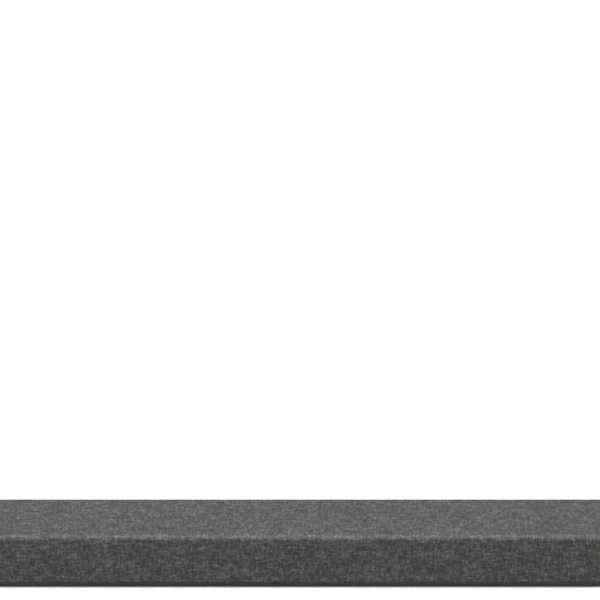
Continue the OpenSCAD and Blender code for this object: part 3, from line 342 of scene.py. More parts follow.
def makeBrushGroup():
    group, given, result = newGroup(
        "brushLines",
        [("Place", "Vector", None), ("Line Width", "Float", 0.0002), ("Line Length", "Float", 0.01)],
        [("Height", "Float"), ("Streak", "Float")])
    axes = put(group, "SeparateXYZ", {0: given["Place"]}).outputs
    stretched = put(group, "CombineXYZ", {
        "X": calc(group, "DIVIDE", axes["X"], given["Line Length"]),
        "Y": calc(group, "DIVIDE", axes["Y"], given["Line Width"]),
        "Z": calc(group, "DIVIDE", axes["Z"], given["Line Width"])})
    lines = put(group, "TexNoise", {"Vector": stretched.outputs[0], "Scale": 1.0, "Detail": 3.0})
    group.links.new(lines.outputs[0], result["Height"])
    group.links.new(lines.outputs[0], result["Streak"])
    return group


def makeDustGroup():
    group, given, result = newGroup(
        "settledDust", [("Place", "Vector", None), ("Normal", "Vector", None), ("Amount", "Float", 0.2)],
        [("Dust", "Float")])
    upward = put(group, "SeparateXYZ", {0: given["Normal"]}).outputs["Z"]
    patches = put(group, "TexNoise", {"Vector": given["Place"], "Scale": 60.0, "Detail": 4.0})
    motes = put(group, "TexNoise", {"Vector": given["Place"], "Scale": 1800.0, "Detail": 1.0})
    cover = calc(group, "MULTIPLY", remap(group, upward, 0.3, 1.0, 0.0, 1.0),
                 remap(group, patches.outputs[0], 0.35, 0.75, 0.2, 1.0))
    spotted = calc(group, "MULTIPLY", cover, remap(group, motes.outputs[0], 0.45, 0.7, 0.25, 1.0))
    group.links.new(calc(group, "MULTIPLY", spotted, given["Amount"]), result["Dust"])
    return group


def makeWearGroup():
    group, given, result = newGroup(
        "edgeWear", [("Place", "Vector", None), ("Edge", "Float", 0.0), ("Amount", "Float", 0.3)],
        [("Wear", "Float")])
    rubs = put(group, "TexNoise", {"Vector": given["Place"], "Scale": 350.0, "Detail": 4.0,
                                   "Roughness": 0.7})
    broken = calc(group, "MULTIPLY", given["Edge"], remap(group, rubs.outputs[0], 0.35, 0.7, 0.1, 1.0))
    group.links.new(calc(group, "MULTIPLY", broken, given["Amount"]), result["Wear"])
    return group


def makeCopperGroup():
    group, given, result = newGroup(
        "copperRuns",
        [("Place", "Vector", None), ("Run Scale", "Float", 260.0), ("Pad Scale", "Float", 330.0)],
        [("Height", "Float"), ("Runs", "Float"), ("Pads", "Float")])
    lines = put(group, "TexBrick", {"Vector": given["Place"], "Scale": given["Run Scale"],
                                    "Mortar Size": 0.04, "Brick Width": 1.4, "Row Height": 0.3}, offset=0.35)
    pads = put(group, "TexVoronoi", {"Vector": given["Place"], "Scale": given["Pad Scale"]}, feature="F1")
    group.links.new(lines.outputs["Fac"], result["Height"])
    group.links.new(remap(group, lines.outputs["Fac"], 0.2, 0.8, 0.0, 0.6), result["Runs"])
    group.links.new(remap(group, pads.outputs["Distance"], 0.08, 0.1, 0.7, 0.0), result["Pads"])
    return group


weaveGroup = makeWeaveGroup()
grainGroup = makeGrainGroup()
brushGroup = makeBrushGroup()
dustGroup = makeDustGroup()
wearGroup = makeWearGroup()
copperGroup = makeCopperGroup()
print("shared effects ready")


clothLook = {
    "pitch": 0.62 * mm,
    "fleckLength": 3.2 * mm,
    "streakLength": 9 * mm,
    "streakWidth": 2.2 * mm,
    "streakShare": 0.75,  # how far threads side by side share their light and dark runs
    "waver": 0.35,  # how far a thread strays from straight, in threads
    "darkYarn": grey(0.010, 0.02),
    "midYarn": grey(0.049, 0.015),
    "lightYarn": grey(0.205, 0.01),
    "middleTone": 0.51,
    "toneSpread": 0.178,  # smaller makes the yarn's light and dark more distinct
    "mottle": 0.36,  # how strongly dark and light yarn gather in spots
    "mottleSize": 2.3 * mm,
    "fibreContrast": 0.5,
    "cloudiness": 0.06,
    "paintedGapShade": 0.6,  # painted shade between the threads: how dark it is there
    "paintedGapShadeColour": grey(0.012),
    "seed": 3.0,
    "bump": 0.16 * mm,
    "bumpStrength": 0.8,
    "sheen": 0.08,
    "sheenRoughness": 0.45,
    "sheenColour": (0.9, 0.9, 0.9, 1),
    "roughness": 0.48,
    "gloss": 0.54,
}


def makeClothMaterial(name, look, placeFrom="weave"):
    material, tree, shader = newMaterial(name)
    place = put(tree, "UVMap", uv_map=placeFrom).outputs[0] if placeFrom else objectPlace(tree)
    weave = useGroup(tree, weaveGroup, {
        "Place": place, "Pitch": look["pitch"], "Waver": look["waver"], "Fleck Length": look["fleckLength"],
        "Streak Length": look["streakLength"], "Streak Width": look["streakWidth"],
        "Streak Share": look["streakShare"], "Mottle": look["mottle"], "Mottle Size": look["mottleSize"],
        "Fibre Contrast": look["fibreContrast"], "Cloudiness": look["cloudiness"], "Seed": look["seed"]})
    ramp = put(tree, "ValToRGB", {"Fac": weave["Tone"]})
    stops = ramp.color_ramp.elements
    stops[0].position, stops[0].color = 0.5 - look["toneSpread"], look["darkYarn"]
    stops[1].position, stops[1].color = 0.5 + look["toneSpread"], look["lightYarn"]
    middle = stops.new(look["middleTone"])
    middle.color = look["midYarn"]
    # painted shade: the yarn colour is darkened where the weave lies low between the threads
    shaded = mixColours(tree, remap(tree, weave["Height"], 0.3, 0.85, look["paintedGapShade"], 0.0),
                        ramp.outputs[0], look["paintedGapShadeColour"])
    tree.links.new(shaded, shader.inputs["Base Color"])
    tree.links.new(remap(tree, weave["Fibre"], 0.3, 0.7, look["roughness"] - 0.08, look["roughness"] + 0.1),
                   shader.inputs["Roughness"])
    shader.inputs["Sheen Weight"].default_value = look["sheen"]
    shader.inputs["Sheen Roughness"].default_value = look["sheenRoughness"]
    shader.inputs["Sheen Tint"].default_value = look["sheenColour"]
    shader.inputs["Specular IOR Level"].default_value = look["gloss"]
    addBump(tree, shader, weave["Height"], look["bump"], look["bumpStrength"])
    return material


# What a moulded finish has where its own row doesn't say
mouldedUsual = {
    "gloss": 0.5,
    "strength": 0.5,  # of the bump
    "blotch": 30 * mm,  # size of the slow changes of tone
    "drift": 1.12,  # how much lighter the light blotches are
    "specks": 0.15,
    "dust": 0,
    "dustColour": grey(0.3, 0.03),
    "wear": 0,
    "coat": 0,
    "coatRoughness": 0.15,
}


def lighter(colour, times, more=0.0):
    return tuple(min(1, c * times + more) for c in colour[:3]) + (1,)


def makeMouldedMaterial(name, own):
    # plastic, rubber or paper: a grain, a slow change of gloss, a little dust and rubbed edges
    look = dict(mouldedUsual, **own)
    base = look["colour"]
    material, tree, shader = newMaterial(name)
    place = objectPlace(tree)
    grain = useGroup(tree, grainGroup, {"Place": place, "Grain Size": look["grain"],
                                        "Blotch Size": look["blotch"]})
    colour = mixColours(tree, remap(tree, grain["Blotch"], 0.3, 0.7, 0.0, 1.0), base,
                        lighter(base, look["drift"]))
    colour = mixColours(tree, remap(tree, grain["Speck"], 0.55, 0.75, 0.0, look["specks"]), colour,
                        lighter(base, 1.6, 0.004))
    rough = remap(tree, grain["Blotch"], 0.3, 0.7, look["roughness"] - 0.05, look["roughness"] + 0.06)
    if look["dust"]:
        normal = tree.nodes.new("ShaderNodeNewGeometry").outputs["Normal"]
        dust = useGroup(tree, dustGroup, {"Place": place, "Normal": normal, "Amount": look["dust"]})
        colour = mixColours(tree, dust["Dust"], colour, look["dustColour"])
        rough = calc(tree, "MULTIPLY_ADD", dust["Dust"], 0.3, rough)
    if look["wear"]:
        edge = put(tree, "Attribute", attribute_name="edge").outputs["Fac"]
        wear = useGroup(tree, wearGroup, {"Place": place, "Edge": edge, "Amount": look["wear"]})
        colour = mixColours(tree, wear["Wear"], colour, lighter(base, 2.2, 0.02))
        rough = calc(tree, "MULTIPLY_ADD", wear["Wear"], -0.18, rough)
    tree.links.new(colour, shader.inputs["Base Color"])
    tree.links.new(rough, shader.inputs["Roughness"])
    if look["coat"]:
        shader.inputs["Coat Weight"].default_value = look["coat"]
        shader.inputs["Coat Roughness"].default_value = look["coatRoughness"]
    shader.inputs["Specular IOR Level"].default_value = look["gloss"]
    addBump(tree, shader, grain["Height"], look["bump"], look["strength"])
    return material


# What all metals share
brushing = {
    "lineWidth": 0.15 * mm,
    "lineLength": 3 * mm,
    "bump": 0.01 * mm,
    "bumpStrength": 0.35,
    "grain": 0.6 * mm,
    "blotch": 6 * mm,
    "metallic": 1.0,
}


def makeMetalMaterial(name, own):
    look = dict(brushing, **own)
    material, tree, shader = newMaterial(name)
    place = objectPlace(tree)
    lines = useGroup(tree, brushGroup, {"Place": place, "Line Width": look["lineWidth"],
                                        "Line Length": look["lineLength"]})
    grain = useGroup(tree, grainGroup, {"Place": place, "Grain Size": look["grain"],
                                        "Blotch Size": look["blotch"]})
    colour = mixColours(tree, remap(tree, grain["Blotch"], 0.3, 0.7, 0.0, 0.5), look["colour"],
                        look["tarnish"])
    tree.links.new(colour, shader.inputs["Base Color"])
    streaks = remap(tree, lines["Streak"], 0.3, 0.7, look["roughness"] - 0.06, look["roughness"] + 0.08)
    blotches = remap(tree, grain["Blotch"], 0.4, 0.7, 0.0, 0.06)
    tree.links.new(calc(tree, "ADD", streaks, blotches), shader.inputs["Roughness"])
    shader.inputs["Metallic"].default_value = look["metallic"]
    addBump(tree, shader, lines["Height"], look["bump"], look["bumpStrength"])
    return material


boardRelief = {"height": 0.04 * mm, "strength": 0.4, "resistRoughness": 0.42, "runRoughness": 0.3}


def makeBoardMaterial(name, look):
    # solder resist with copper runs that show through it
    material, tree, shader = newMaterial(name)
    copper = useGroup(tree, copperGroup, {"Place": objectPlace(tree)})
    colour = mixColours(tree, copper["Runs"], look["resist"], look["run"])
    colour = mixColours(tree, copper["Pads"], colour, look["pad"])
    tree.links.new(colour, shader.inputs["Base Color"])
    tree.links.new(remap(tree, copper["Height"], 0.0, 1.0, boardRelief["resistRoughness"],
                         boardRelief["runRoughness"]), shader.inputs["Roughness"])
    addBump(tree, shader, copper["Height"], boardRelief["height"], boardRelief["strength"])
    return material


black = {
    "colour": grey(0.03), "roughness": 0.46, "gloss": 0.4, "grain": 0.55 * mm, "bump": 0.14 * mm,
    "strength": 0.8, "drift": 1.35, "specks": 0.3, "dust": 0.05,
}
looks = {
    "shell_plastic": dict(black, wear=0.25),
    "inner_plastic": dict(black, colour=grey(0.022), roughness=0.5, grain=0.6 * mm),
    "button_rubber": {
        "colour": grey(0.03), "roughness": 0.58, "grain": 0.2 * mm, "bump": 0.02 * mm, "wear": 0.2},
    "foot_rubber": {
        "colour": grey(0.018), "roughness": 0.72, "grain": 0.3 * mm, "bump": 0.05 * mm, "dust": 0.1},
    "surround_rubber": {"colour": grey(0.014), "roughness": 0.45, "grain": 0.5 * mm, "bump": 0.02 * mm},
    "cone_paper": {
        "colour": grey(0.02), "roughness": 0.8, "grain": 0.9 * mm, "bump": 0.12 * mm, "specks": 0.4},
    "gasket_foam": {"colour": grey(0.025), "roughness": 0.9, "grain": 0.35 * mm, "bump": 0.15 * mm},
    "socket_plastic": {"colour": grey(0.012), "roughness": 0.38, "grain": 0.3 * mm, "bump": 0.02 * mm},
    "shutter_plastic": {"colour": grey(0.035), "roughness": 0.42, "grain": 0.3 * mm, "bump": 0.02 * mm},
    "window_plastic": {
        "colour": grey(0.008), "roughness": 0.12, "grain": 2 * mm, "bump": 0.004 * mm, "coat": 0.6},
    "transformer_tape": {
        "colour": (0.62, 0.36, 0.05, 1), "roughness": 0.35, "grain": 1.2 * mm, "bump": 0.05 * mm},
    "wire_red": {"colour": (0.33, 0.025, 0.02, 1), "roughness": 0.45, "grain": 0.7 * mm, "bump": 0.03 * mm},
    "ribbon_grey": {"colour": grey(0.5, 0.01), "roughness": 0.4, "grain": 1 * mm, "bump": 0.03 * mm},
    "label_film": {
        "colour": grey(0.34), "roughness": 0.32, "grain": 0.5 * mm, "bump": 0.008 * mm, "drift": 1.05},
}
metalLooks = {
    "plain_steel": {"colour": grey(0.55), "tarnish": grey(0.42, 0.03), "roughness": 0.3},
    "black_steel": {"colour": grey(0.06), "tarnish": grey(0.035), "roughness": 0.42},
    "basket_metal": {"colour": grey(0.03), "tarnish": grey(0.02), "roughness": 0.45, "metallic": 0.4},
    "magnet_ferrite": {
        "colour": grey(0.07), "tarnish": grey(0.05, 0.05), "roughness": 0.55, "metallic": 0.5},
    "bare_aluminium": {"colour": grey(0.66), "tarnish": grey(0.5), "roughness": 0.32},
    "socket_metal": {"colour": grey(0.62, 0.02), "tarnish": grey(0.5, 0.04), "roughness": 0.26},
    "insert_brass": {"colour": (0.72, 0.5, 0.2, 1), "tarnish": (0.5, 0.32, 0.12, 1), "roughness": 0.32},
    "contact_gold": {"colour": (0.83, 0.58, 0.22, 1), "tarnish": (0.7, 0.46, 0.16, 1), "roughness": 0.22},
}
boardLooks = {
    "board_green": {
        "resist": (0.008, 0.075, 0.035, 1), "run": (0.02, 0.14, 0.06, 1), "pad": (0.5, 0.48, 0.42, 1)},
    "board_blue": {
        "resist": (0.008, 0.03, 0.12, 1), "run": (0.02, 0.07, 0.2, 1), "pad": (0.6, 0.45, 0.2, 1)},
}
spiderLook = dict(clothLook, darkYarn=(0.22, 0.11, 0.03, 1), midYarn=(0.4, 0.22, 0.07, 1),
                  lightYarn=(0.6, 0.38, 0.15, 1))


def finishName(slot):
    first, *rest = slot.split("_")
    return first + "".join(word.capitalize() for word in rest)


materials = {slot: makeMouldedMaterial(finishName(slot), look) for slot, look in looks.items()}
for slot, look in metalLooks.items():
    materials[slot] = makeMetalMaterial(finishName(slot), look)
for slot, look in boardLooks.items():
    materials[slot] = makeBoardMaterial(finishName(slot), look)
materials["grille_cloth"] = makeClothMaterial("grilleClothWeave", clothLook)
materials["spider_cloth"] = makeClothMaterial("spiderClothWeave", spiderLook, placeFrom=None)

for entry in record["subparts"]:
    meshData = nodes[entry["node"]].data
    meshData.materials.clear()
    meshData.materials.append(materials[entry["material_slot"]])
print("finishes given to", len(record["subparts"]), "nodes")


cloth = {
    "endTuck": 0.5 * mm,  # how far its ends roll in beside the end caps
    "hemRadius": 0.4 * mm,
    "columns": 220,
    "frontRows": 14,
    "topRows": 24,
    "edgeSteps": 14,
    "hemSteps": 4,
    "stitchSag": 0.05 * mm,  # how unevenly it lies on the grille
}


def clothProfile(low, high):
    # the outer face in Y and Z from the front hem over the top to the rear hem, with its outward normals
    front, back = shell["frontEdgeRadius"], shell["otherEdgeRadius"]
    hem, path = cloth["hemRadius"], []

    def add(y, z, normal):
        path.append((Vector((y, z)), Vector(normal).normalized()))

    def turnCorner(centreY, centreZ, radius, start, end, steps, first=1):
        for step in range(first, steps + 1):
            angle = math.radians(start + (end - start) * step / steps)
            out = (math.cos(angle), math.sin(angle))
            add(centreY + radius * out[0], centreZ + radius * out[1], out)

    turnCorner(low.y + hem, low.z + hem, hem, 270, 180, cloth["hemSteps"], first=0)
    for step in range(1, cloth["frontRows"] + 1):
        z = low.z + hem + (high.z - front - low.z - hem) * step / cloth["frontRows"]
        add(low.y, z, (-1, 0))
    turnCorner(low.y + front, high.z - front, front, 180, 90, cloth["edgeSteps"])
    for step in range(1, cloth["topRows"] + 1):
        y = low.y + front + (high.y - back - low.y - front) * step / cloth["topRows"]
        add(y, high.z, (0, 1))
    turnCorner(high.y - back, high.z - back, back, 90, 0, cloth["edgeSteps"])
    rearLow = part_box("back_panel_middle")[1].z + 2 * shell["seam"]
    add(high.y, rearLow + hem, (1, 0))
    turnCorner(high.y - hem, rearLow + hem, hem, 0, -90, cloth["hemSteps"])
    return path


def makeGrilleCloth():
    low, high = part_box("grille_cloth")
    path = clothProfile(low, high)
    tuck, thickness = cloth["endTuck"], shell["clothThickness"]
    rolled = [roundedStep(tuck, a) for a in range(0, 91, 15)]
    flatWidth = high.x - low.x - 2 * tuck
    columns = [(low.x + along, sink) for along, sink in rolled]
    columns += [(low.x + tuck + flatWidth * i / cloth["columns"], 0) for i in range(1, cloth["columns"])]
    columns += [(high.x - along, sink) for along, sink in rolled[::-1]]
    lengths = [0.0]
    for (a, _), (b, _) in zip(path, path[1:]):
        lengths.append(lengths[-1] + (b - a).length)
    mesh = bmesh.new()
    weave = mesh.loops.layers.uv.new("weave")
    placeOf, grids = {}, []
    for isOuter in (True, False):
        grid = []
        for x, sink in columns:
            row = []
            for (point, normal), run in zip(path, lengths):
                ripple = math.sin(x * 61 + run * 23) * math.sin(x * 17 - run * 41)
                sag = cloth["stitchSag"] * 0.5 * (1 + ripple)
                inset = min(sink or sag, thickness) if isOuter else thickness
                spot = point - normal * inset
                vert = mesh.verts.new((x, spot.x, spot.y))
                placeOf[vert] = (x - low.x, run)
                row.append(vert)
            grid.append(row)
        grids.append(grid)
    outer, under = grids
    for grid, flip in ((outer, False), (under, True)):
        for a, b in zip(grid, grid[1:]):
            for i in range(len(path) - 1):
                corners = (a[i], b[i], b[i + 1], a[i + 1])
                mesh.faces.new(corners[::-1] if flip else corners)
    for i in range(len(path) - 1):
        for side in (0, -1):
            mesh.faces.new((outer[side][i], outer[side][i + 1], under[side][i + 1], under[side][i]))
    for c in range(len(columns) - 1):
        for end in (0, -1):
            mesh.faces.new((outer[c][end], outer[c + 1][end], under[c + 1][end], under[c][end]))
    for face in mesh.faces:
        for corner in face.loops:
            corner[weave].uv = placeOf[corner.vert]
    piece = makePiece("grilleCloth", mesh, materials["grille_cloth"], sharpAngle=50)
    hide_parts("grille_cloth")
    return lengths[-1]


clothWidth = makeGrilleCloth()
print("grille cloth:", round(clothWidth * 1000, 1), "mm from hem to hem")


buttonNames = ["power_button", "source_button", "volume_down_button", "volume_up_button"]
# The end cap's holes are cut to fit these
button = {
    "flange": 1.2 * mm,  # how far the flange behind the cap stands out
    "flangeThickness": 1 * mm,
    "flangeEdge": 0.1 * mm,
    "rim": 0.4 * mm,
    "hollow": 0.12 * mm,  # how far the face dips in its middle
    "markSize": 1.75 * mm,
    "markLine": 0.42 * mm,
    "markHeight": 0.09 * mm,
    "markBevel": 0.04 * mm,
    "markSunk": 0.05 * mm,
}
endCap = {
    "dishDepth": 0.8 * mm,
    "dishHeight": 14 * mm,
    "dishEdge": 0.3 * mm,
    "buttonClearance": 0.2 * mm,
    "holeEdge": 0.15 * mm,
    "holeSteps": 56,
    "openEdge": 0.25 * mm,
    "smallestRadius": 0.3 * mm,
    "flatRim": 0.2 * mm,  # a narrow flat beside each rounded edge keeps its shading crisp
    "sideLoop": 3 * mm,  # a loop this far along the sides keeps theirs even
    "cornerSteps": 14,
    "dishSteps": 24,
}


def faceMiddle(node):
    low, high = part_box(node)
    return (low + high) / 2


def buttonRadius():
    low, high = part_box("power_button")
    return (high.z - low.z) / 2 - button["flange"]


def cutDish(mesh, outerX, centres):
    # the recess around the buttons; returns the loops that the cap's face and its inside join
    middle = sum(centres, Vector()) / len(centres)
    depth, soft, rim = endCap["dishDepth"], endCap["dishEdge"], endCap["flatRim"]
    height = endCap["dishHeight"]
    length = centres[-1].y - centres[0].y + height

    def dishLoop(x, grow):
        return addLoop(mesh, [(x, middle.y + u, middle.z + v)
                              for u, v in slotOutline(length + 2 * grow, height + 2 * grow,
                                                      endCap["dishSteps"])])

    dish = [dishLoop(outerX, soft + 1.5 * rim)]
    for a in range(0, 91, 15):
        sink, grow = roundedStep(soft, a)
        dish.append(dishLoop(outerX - sink, grow))
    for a in range(15, 91, 15):
        shrink, rise = roundedStep(soft, a)
        dish.append(dishLoop(outerX - depth + rise, -shrink))
    dish.append(dishLoop(outerX - depth, -soft - rim))
    bridgeLoops(mesh, dish)

    floorHoles, insideHoles = [], []
    reach, nib = buttonRadius() + endCap["buttonClearance"], endCap["holeEdge"]
    for centre in centres:
        def holeLoop(x, radius):
            return addLoop(mesh, [(x, centre.y + u, centre.z + v)
                                  for u, v in circleOutline(radius, endCap["holeSteps"])])

        ring = [holeLoop(outerX - depth, reach + nib + rim)]
        for a in range(0, 91, 30):
            sink, grow = roundedStep(nib, a)
            ring.append(holeLoop(outerX - depth - sink, reach + grow))
        ring.append(holeLoop(outerX - shell["wall"], reach))
        bridgeLoops(mesh, ring)
        floorHoles.append(ring[0])
        insideHoles.append(ring[-1])
    fillFlat(mesh, [dish[-1]] + floorHoles)
    return [dish[0]], insideHoles


def makeEndCap(side):
    name = "endCapRight" if side > 0 else "endCapLeft"
    outerX = barHigh.x
    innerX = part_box("bottom_pan")[1].x
    wall, rounding, edge = shell["wall"], shell["capRounding"], endCap["openEdge"]
    cornerRadii = [shell["otherEdgeRadius"]] * 3 + [shell["frontEdgeRadius"]]
    mesh = bmesh.new()

    def loopAt(x, inset):
        radii = [max(radius - inset, endCap["smallestRadius"]) for radius in cornerRadii]
        outline = roundedOutline((barLow.y + inset, panLow.z + inset), (barHigh.y - inset, barHigh.z - inset),
                                 radii, endCap["cornerSteps"])
        return addLoop(mesh, [(side * x, y, z) for y, z in outline])

    loops = [loopAt(innerX, wall), loopAt(innerX, edge)]
    for a in (30, 60, 90):
        along, inset = roundedStep(edge, a)
        loops.append(loopAt(innerX + along, inset))
    loops += [loopAt(innerX + endCap["sideLoop"], 0), loopAt(outerX - rounding, 0)]
    for a in range(10, 91, 10):
        inset, back = roundedStep(rounding, a)
        loops.append(loopAt(outerX - back, inset))
    loops.append(loopAt(outerX, rounding + 2 * endCap["flatRim"]))
    insideLoops = [loops[0], loopAt(outerX - wall, wall)]
    bridgeLoops(mesh, loops)
    bridgeLoops(mesh, insideLoops)
    faceHoles, insideHoles = [], []
    if side > 0:
        faceHoles, insideHoles = cutDish(mesh, outerX, [faceMiddle(n) for n in buttonNames])
    fillFlat(mesh, [loops[-1]] + faceHoles)
    fillFlat(mesh, [insideLoops[-1]] + insideHoles)
    piece = makePiece(name, mesh, materials["shell_plastic"])
    markEdges(piece)
    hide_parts("end_cap_right" if side > 0 else "end_cap_left")


def markEdges(piece):
    # 1 where the surface curves over an edge, 0 on the flats, for the wear effect
    data = piece.data
    bend = [0.0] * len(data.vertices)
    faces = {}
    for polygon in data.polygons:
        for key in polygon.edge_keys:
            faces.setdefault(key, []).append(polygon.normal)
    for key, normals in faces.items():
        if len(normals) == 2:
            angle = normals[0].angle(normals[1], 0)
            for vert in key:
                bend[vert] = max(bend[vert], min(1.0, angle / math.radians(9)))
    edge = data.attributes.new("edge", "FLOAT", "POINT")
    edge.data.foreach_set("value", bend)


for side in (-1, 1):
    makeEndCap(side)
print("end caps ready")


markLook = {"colour": grey(0.42), "roughness": 0.5, "grain": 0.2 * mm, "bump": 0.008 * mm, "drift": 1.04}
markScale = {  # shares of the mark's size
    "powerRing": 0.8, "powerBar": 0.95, "powerBarRise": 0.62, "sourceRing": 0.95, "arrow": 0.72,
    "arrowShift": 0.42, "minus": 1.7, "plus": 0.85,
}
materials["mark_paint"] = makeMouldedMaterial("markPaint", markLook)


def barOutline(length, width, centre=(0, 0), angle=0.0):
    turned = [Vector(p) for p in slotOutline(length, width, 8)]
    c, s = math.cos(math.radians(angle)), math.sin(math.radians(angle))
    return [(centre[0] + p.x * c - p.y * s, centre[1] + p.x * s + p.y * c) for p in turned]


def bandOutline(radius, width, start, end):
    # part of a ring with round ends
    def roundEnd(angle, turnFrom):
        centre = (radius * math.cos(math.radians(angle)), radius * math.sin(math.radians(angle)))
        return arcPoints(centre, width / 2, turnFrom, turnFrom + 180, 8)[1:-1]

    return (arcPoints((0, 0), radius + width / 2, start, end, 28) + roundEnd(end, end)
            + arcPoints((0, 0), radius - width / 2, end, start, 28) + roundEnd(start, start + 180))


def plusOutline(size, line):
    h, w = size, line / 2
    return [(h, -w), (h, w), (w, w), (w, h), (-w, h), (-w, w), (-h, w), (-h, -w), (-w, -w), (-w, -h),
            (w, -h), (w, -w)]


def arrowOutline(size, line):
    # an arrow that points to the right
    w, head = line / 2, size * 0.55
    return [(-size, -w), (size - head, -w), (size - head, -head * 0.8), (size, 0), (size - head, head * 0.8),
            (size - head, w), (-size, w)]


def marksFor(name):
    size, line = button["markSize"], button["markLine"]
    share = {key: size * value for key, value in markScale.items()}
    if name == "power_button":
        return [bandOutline(share["powerRing"], line, 120, 420),
                barOutline(share["powerBar"], line, (0, share["powerBarRise"]), 90)]
    if name == "source_button":
        arrow = [(u + share["arrowShift"], v) for u, v in arrowOutline(share["arrow"], line)]
        return [bandOutline(share["sourceRing"], line, 55, 305), arrow]
    if name == "volume_down_button":
        return [barOutline(share["minus"], line)]
    return [plusOutline(share["plus"], line)]


def makeButton(name):
    low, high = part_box(name)
    middle, radius, rim = (low + high) / 2, buttonRadius(), button["rim"]
    body, label = name + "_body", "".join(word.capitalize() for word in name.split("_"))
    flange, soft = (high.z - low.z) / 2, button["flangeEdge"]
    top = low.x + button["flangeThickness"]
    profile = [(low.x, 0), (low.x, flange - soft), (low.x + soft, flange), (top - soft, flange),
               (top, flange - soft), (top, radius + soft / 2), (top + soft / 2, radius)]
    for a in range(0, 91, 15):
        inset, back = roundedStep(rim, a)
        profile.append((high.x - back, radius - inset))
    face = radius - rim
    for share in (5 / 6, 4 / 6, 3 / 6, 2 / 6, 1 / 6, 0):
        profile.append((high.x - button["hollow"] * (1 - share ** 2), face * share))
    mesh = bmesh.new()
    turn(mesh, profile, lambda x, u, v: (x, middle.y + u, middle.z + v))
    piece = makePiece("cap" + label, mesh, materials["button_rubber"], body=body,
                      sharpAngle=40)
    markEdges(piece)
    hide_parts(name)
    mesh = bmesh.new()
    surface = high.x - button["hollow"]
    for outline in marksFor(name):
        raisedForm(mesh, outline, lambda u, v, h: (surface + h, middle.y + u, middle.z + v),
                   button["markHeight"], button["markBevel"], button["markSunk"])
    makePiece("mark" + label, mesh, materials["mark_paint"], body=body)


for name in buttonNames:
    makeButton(name)
print("buttons ready")


foot = {
    "length": 36 * mm,
    "width": 10 * mm,
    "edge": 0.5 * mm,
    "topEdge": (0.3 * mm, 0.2 * mm),  # inwards and down
    "grooveFromRim": 1.6 * mm,
    "grooveDepth": 0.4 * mm,
    "grooveWidth": 0.5 * mm,
    "grooveEdge": (0.1 * mm, 0.25 * mm),  # where its sides start to round, and where they end
    "steps": 20,
}


def makeFeet():
    low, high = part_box("feet")
    length, width, edge = foot["length"], foot["width"], foot["edge"]
    topIn, topDown = foot["topEdge"]
    nearSide, deep = foot["grooveFromRim"], foot["grooveDepth"]
    farSide = nearSide + foot["grooveWidth"]
    soft, out = foot["grooveEdge"]
    count = 0
    for sideX in (-1, 1):
        for sideY, end in ((-1, low.y), (1, high.y)):
            count += 1
            centre = Vector((sideX * (high.x - length / 2), end - sideY * width / 2, 0))
            mesh = bmesh.new()

            def footLoop(inset, z):
                return addLoop(mesh, [(centre.x + u, centre.y + v, z)
                                      for u, v in slotOutline(length - 2 * inset, width - 2 * inset,
                                                              foot["steps"])])

            loops = [footLoop(topIn, high.z), footLoop(0, high.z - topDown), footLoop(0, edge)]
            loops += [footLoop(*roundedStep(edge, a)) for a in (22, 45, 68, 90)]
            loops += [footLoop(inset, z) for inset, z in (
                (nearSide - out, 0), (nearSide - soft, soft), (nearSide, deep),
                (farSide, deep), (farSide + soft, soft), (farSide + out, 0))]
            bridgeLoops(mesh, loops)
            fillFlat(mesh, [loops[0]])
            fillFlat(mesh, [loops[-1]])
            piece = makePiece(f"foot{count}", mesh, materials["foot_rubber"])
            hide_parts("feet")


makeFeet()
print("feet ready")


# Gold strips under a socket's tongue; start and end are depths behind its mouth, above is from its middle
contacts = {
    "hdmiContacts": {"node": "hdmi_socket", "count": 10, "pitch": 1 * mm, "width": 0.45 * mm,
                     "start": 2.2 * mm, "end": 8 * mm, "above": 0.2 * mm},
    "usbContacts": {"node": "usb_socket", "count": 4, "pitch": 2.2 * mm, "width": 1 * mm,
                    "start": 2 * mm, "end": 8.5 * mm, "above": 0.5 * mm},
}
contactThickness = 0.06 * mm
contactBevel = 0.02 * mm
contactSteps = 6


def makeContacts(name, look):
    low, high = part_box(look["node"])
    middle = (low + high) / 2
    under = middle.z + look["above"]
    length, centreY = look["end"] - look["start"], high.y - (look["start"] + look["end"]) / 2
    mesh = bmesh.new()
    for i in range(look["count"]):
        x = middle.x + (i - (look["count"] - 1) / 2) * look["pitch"]
        outline = [(x + v, centreY + u) for u, v in slotOutline(length, look["width"], contactSteps)][::-1]
        raisedForm(mesh, outline, lambda u, v, h: (u, v, under - h), contactThickness, contactBevel,
                   contactBevel)
    makePiece(name, mesh, materials["contact_gold"])


for name, look in contacts.items():
    makeContacts(name, look)


mainsPin = {
    "radius": 1.23 * mm,
    "pitch": 8.6 * mm,
    "length": 10.4 * mm,
    "behindMouth": 2.45 * mm,
    "underTop": 6.5 * mm,
    "tipLength": 0.7 * mm,
    "tipNarrowing": 0.55 * mm,
    "steps": 40,
}


def makeMainsPins():
    low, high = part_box("mains_socket")
    x, z = (low.x + high.x) / 2, high.z - mainsPin["underTop"]
    radius, tip = mainsPin["radius"], high.y - mainsPin["behindMouth"]
    for side, name in ((-1, "mainsPinLeft"), (1, "mainsPinRight")):
        root = tip - mainsPin["length"]
        profile = [(root, 0), (root, radius), (tip - mainsPin["tipLength"], radius)]
        for a in range(15, 91, 15):
            profile.append((tip - roundedStep(mainsPin["tipLength"], a)[1],
                            radius - roundedStep(mainsPin["tipNarrowing"], a)[0]))
        profile.append((tip, 0))
        mesh = bmesh.new()
        turn(mesh, profile, lambda y, u, v: (x + side * mainsPin["pitch"] / 2 + u, y, z + v),
             mainsPin["steps"])
        makePiece(name, mesh, materials["socket_metal"])


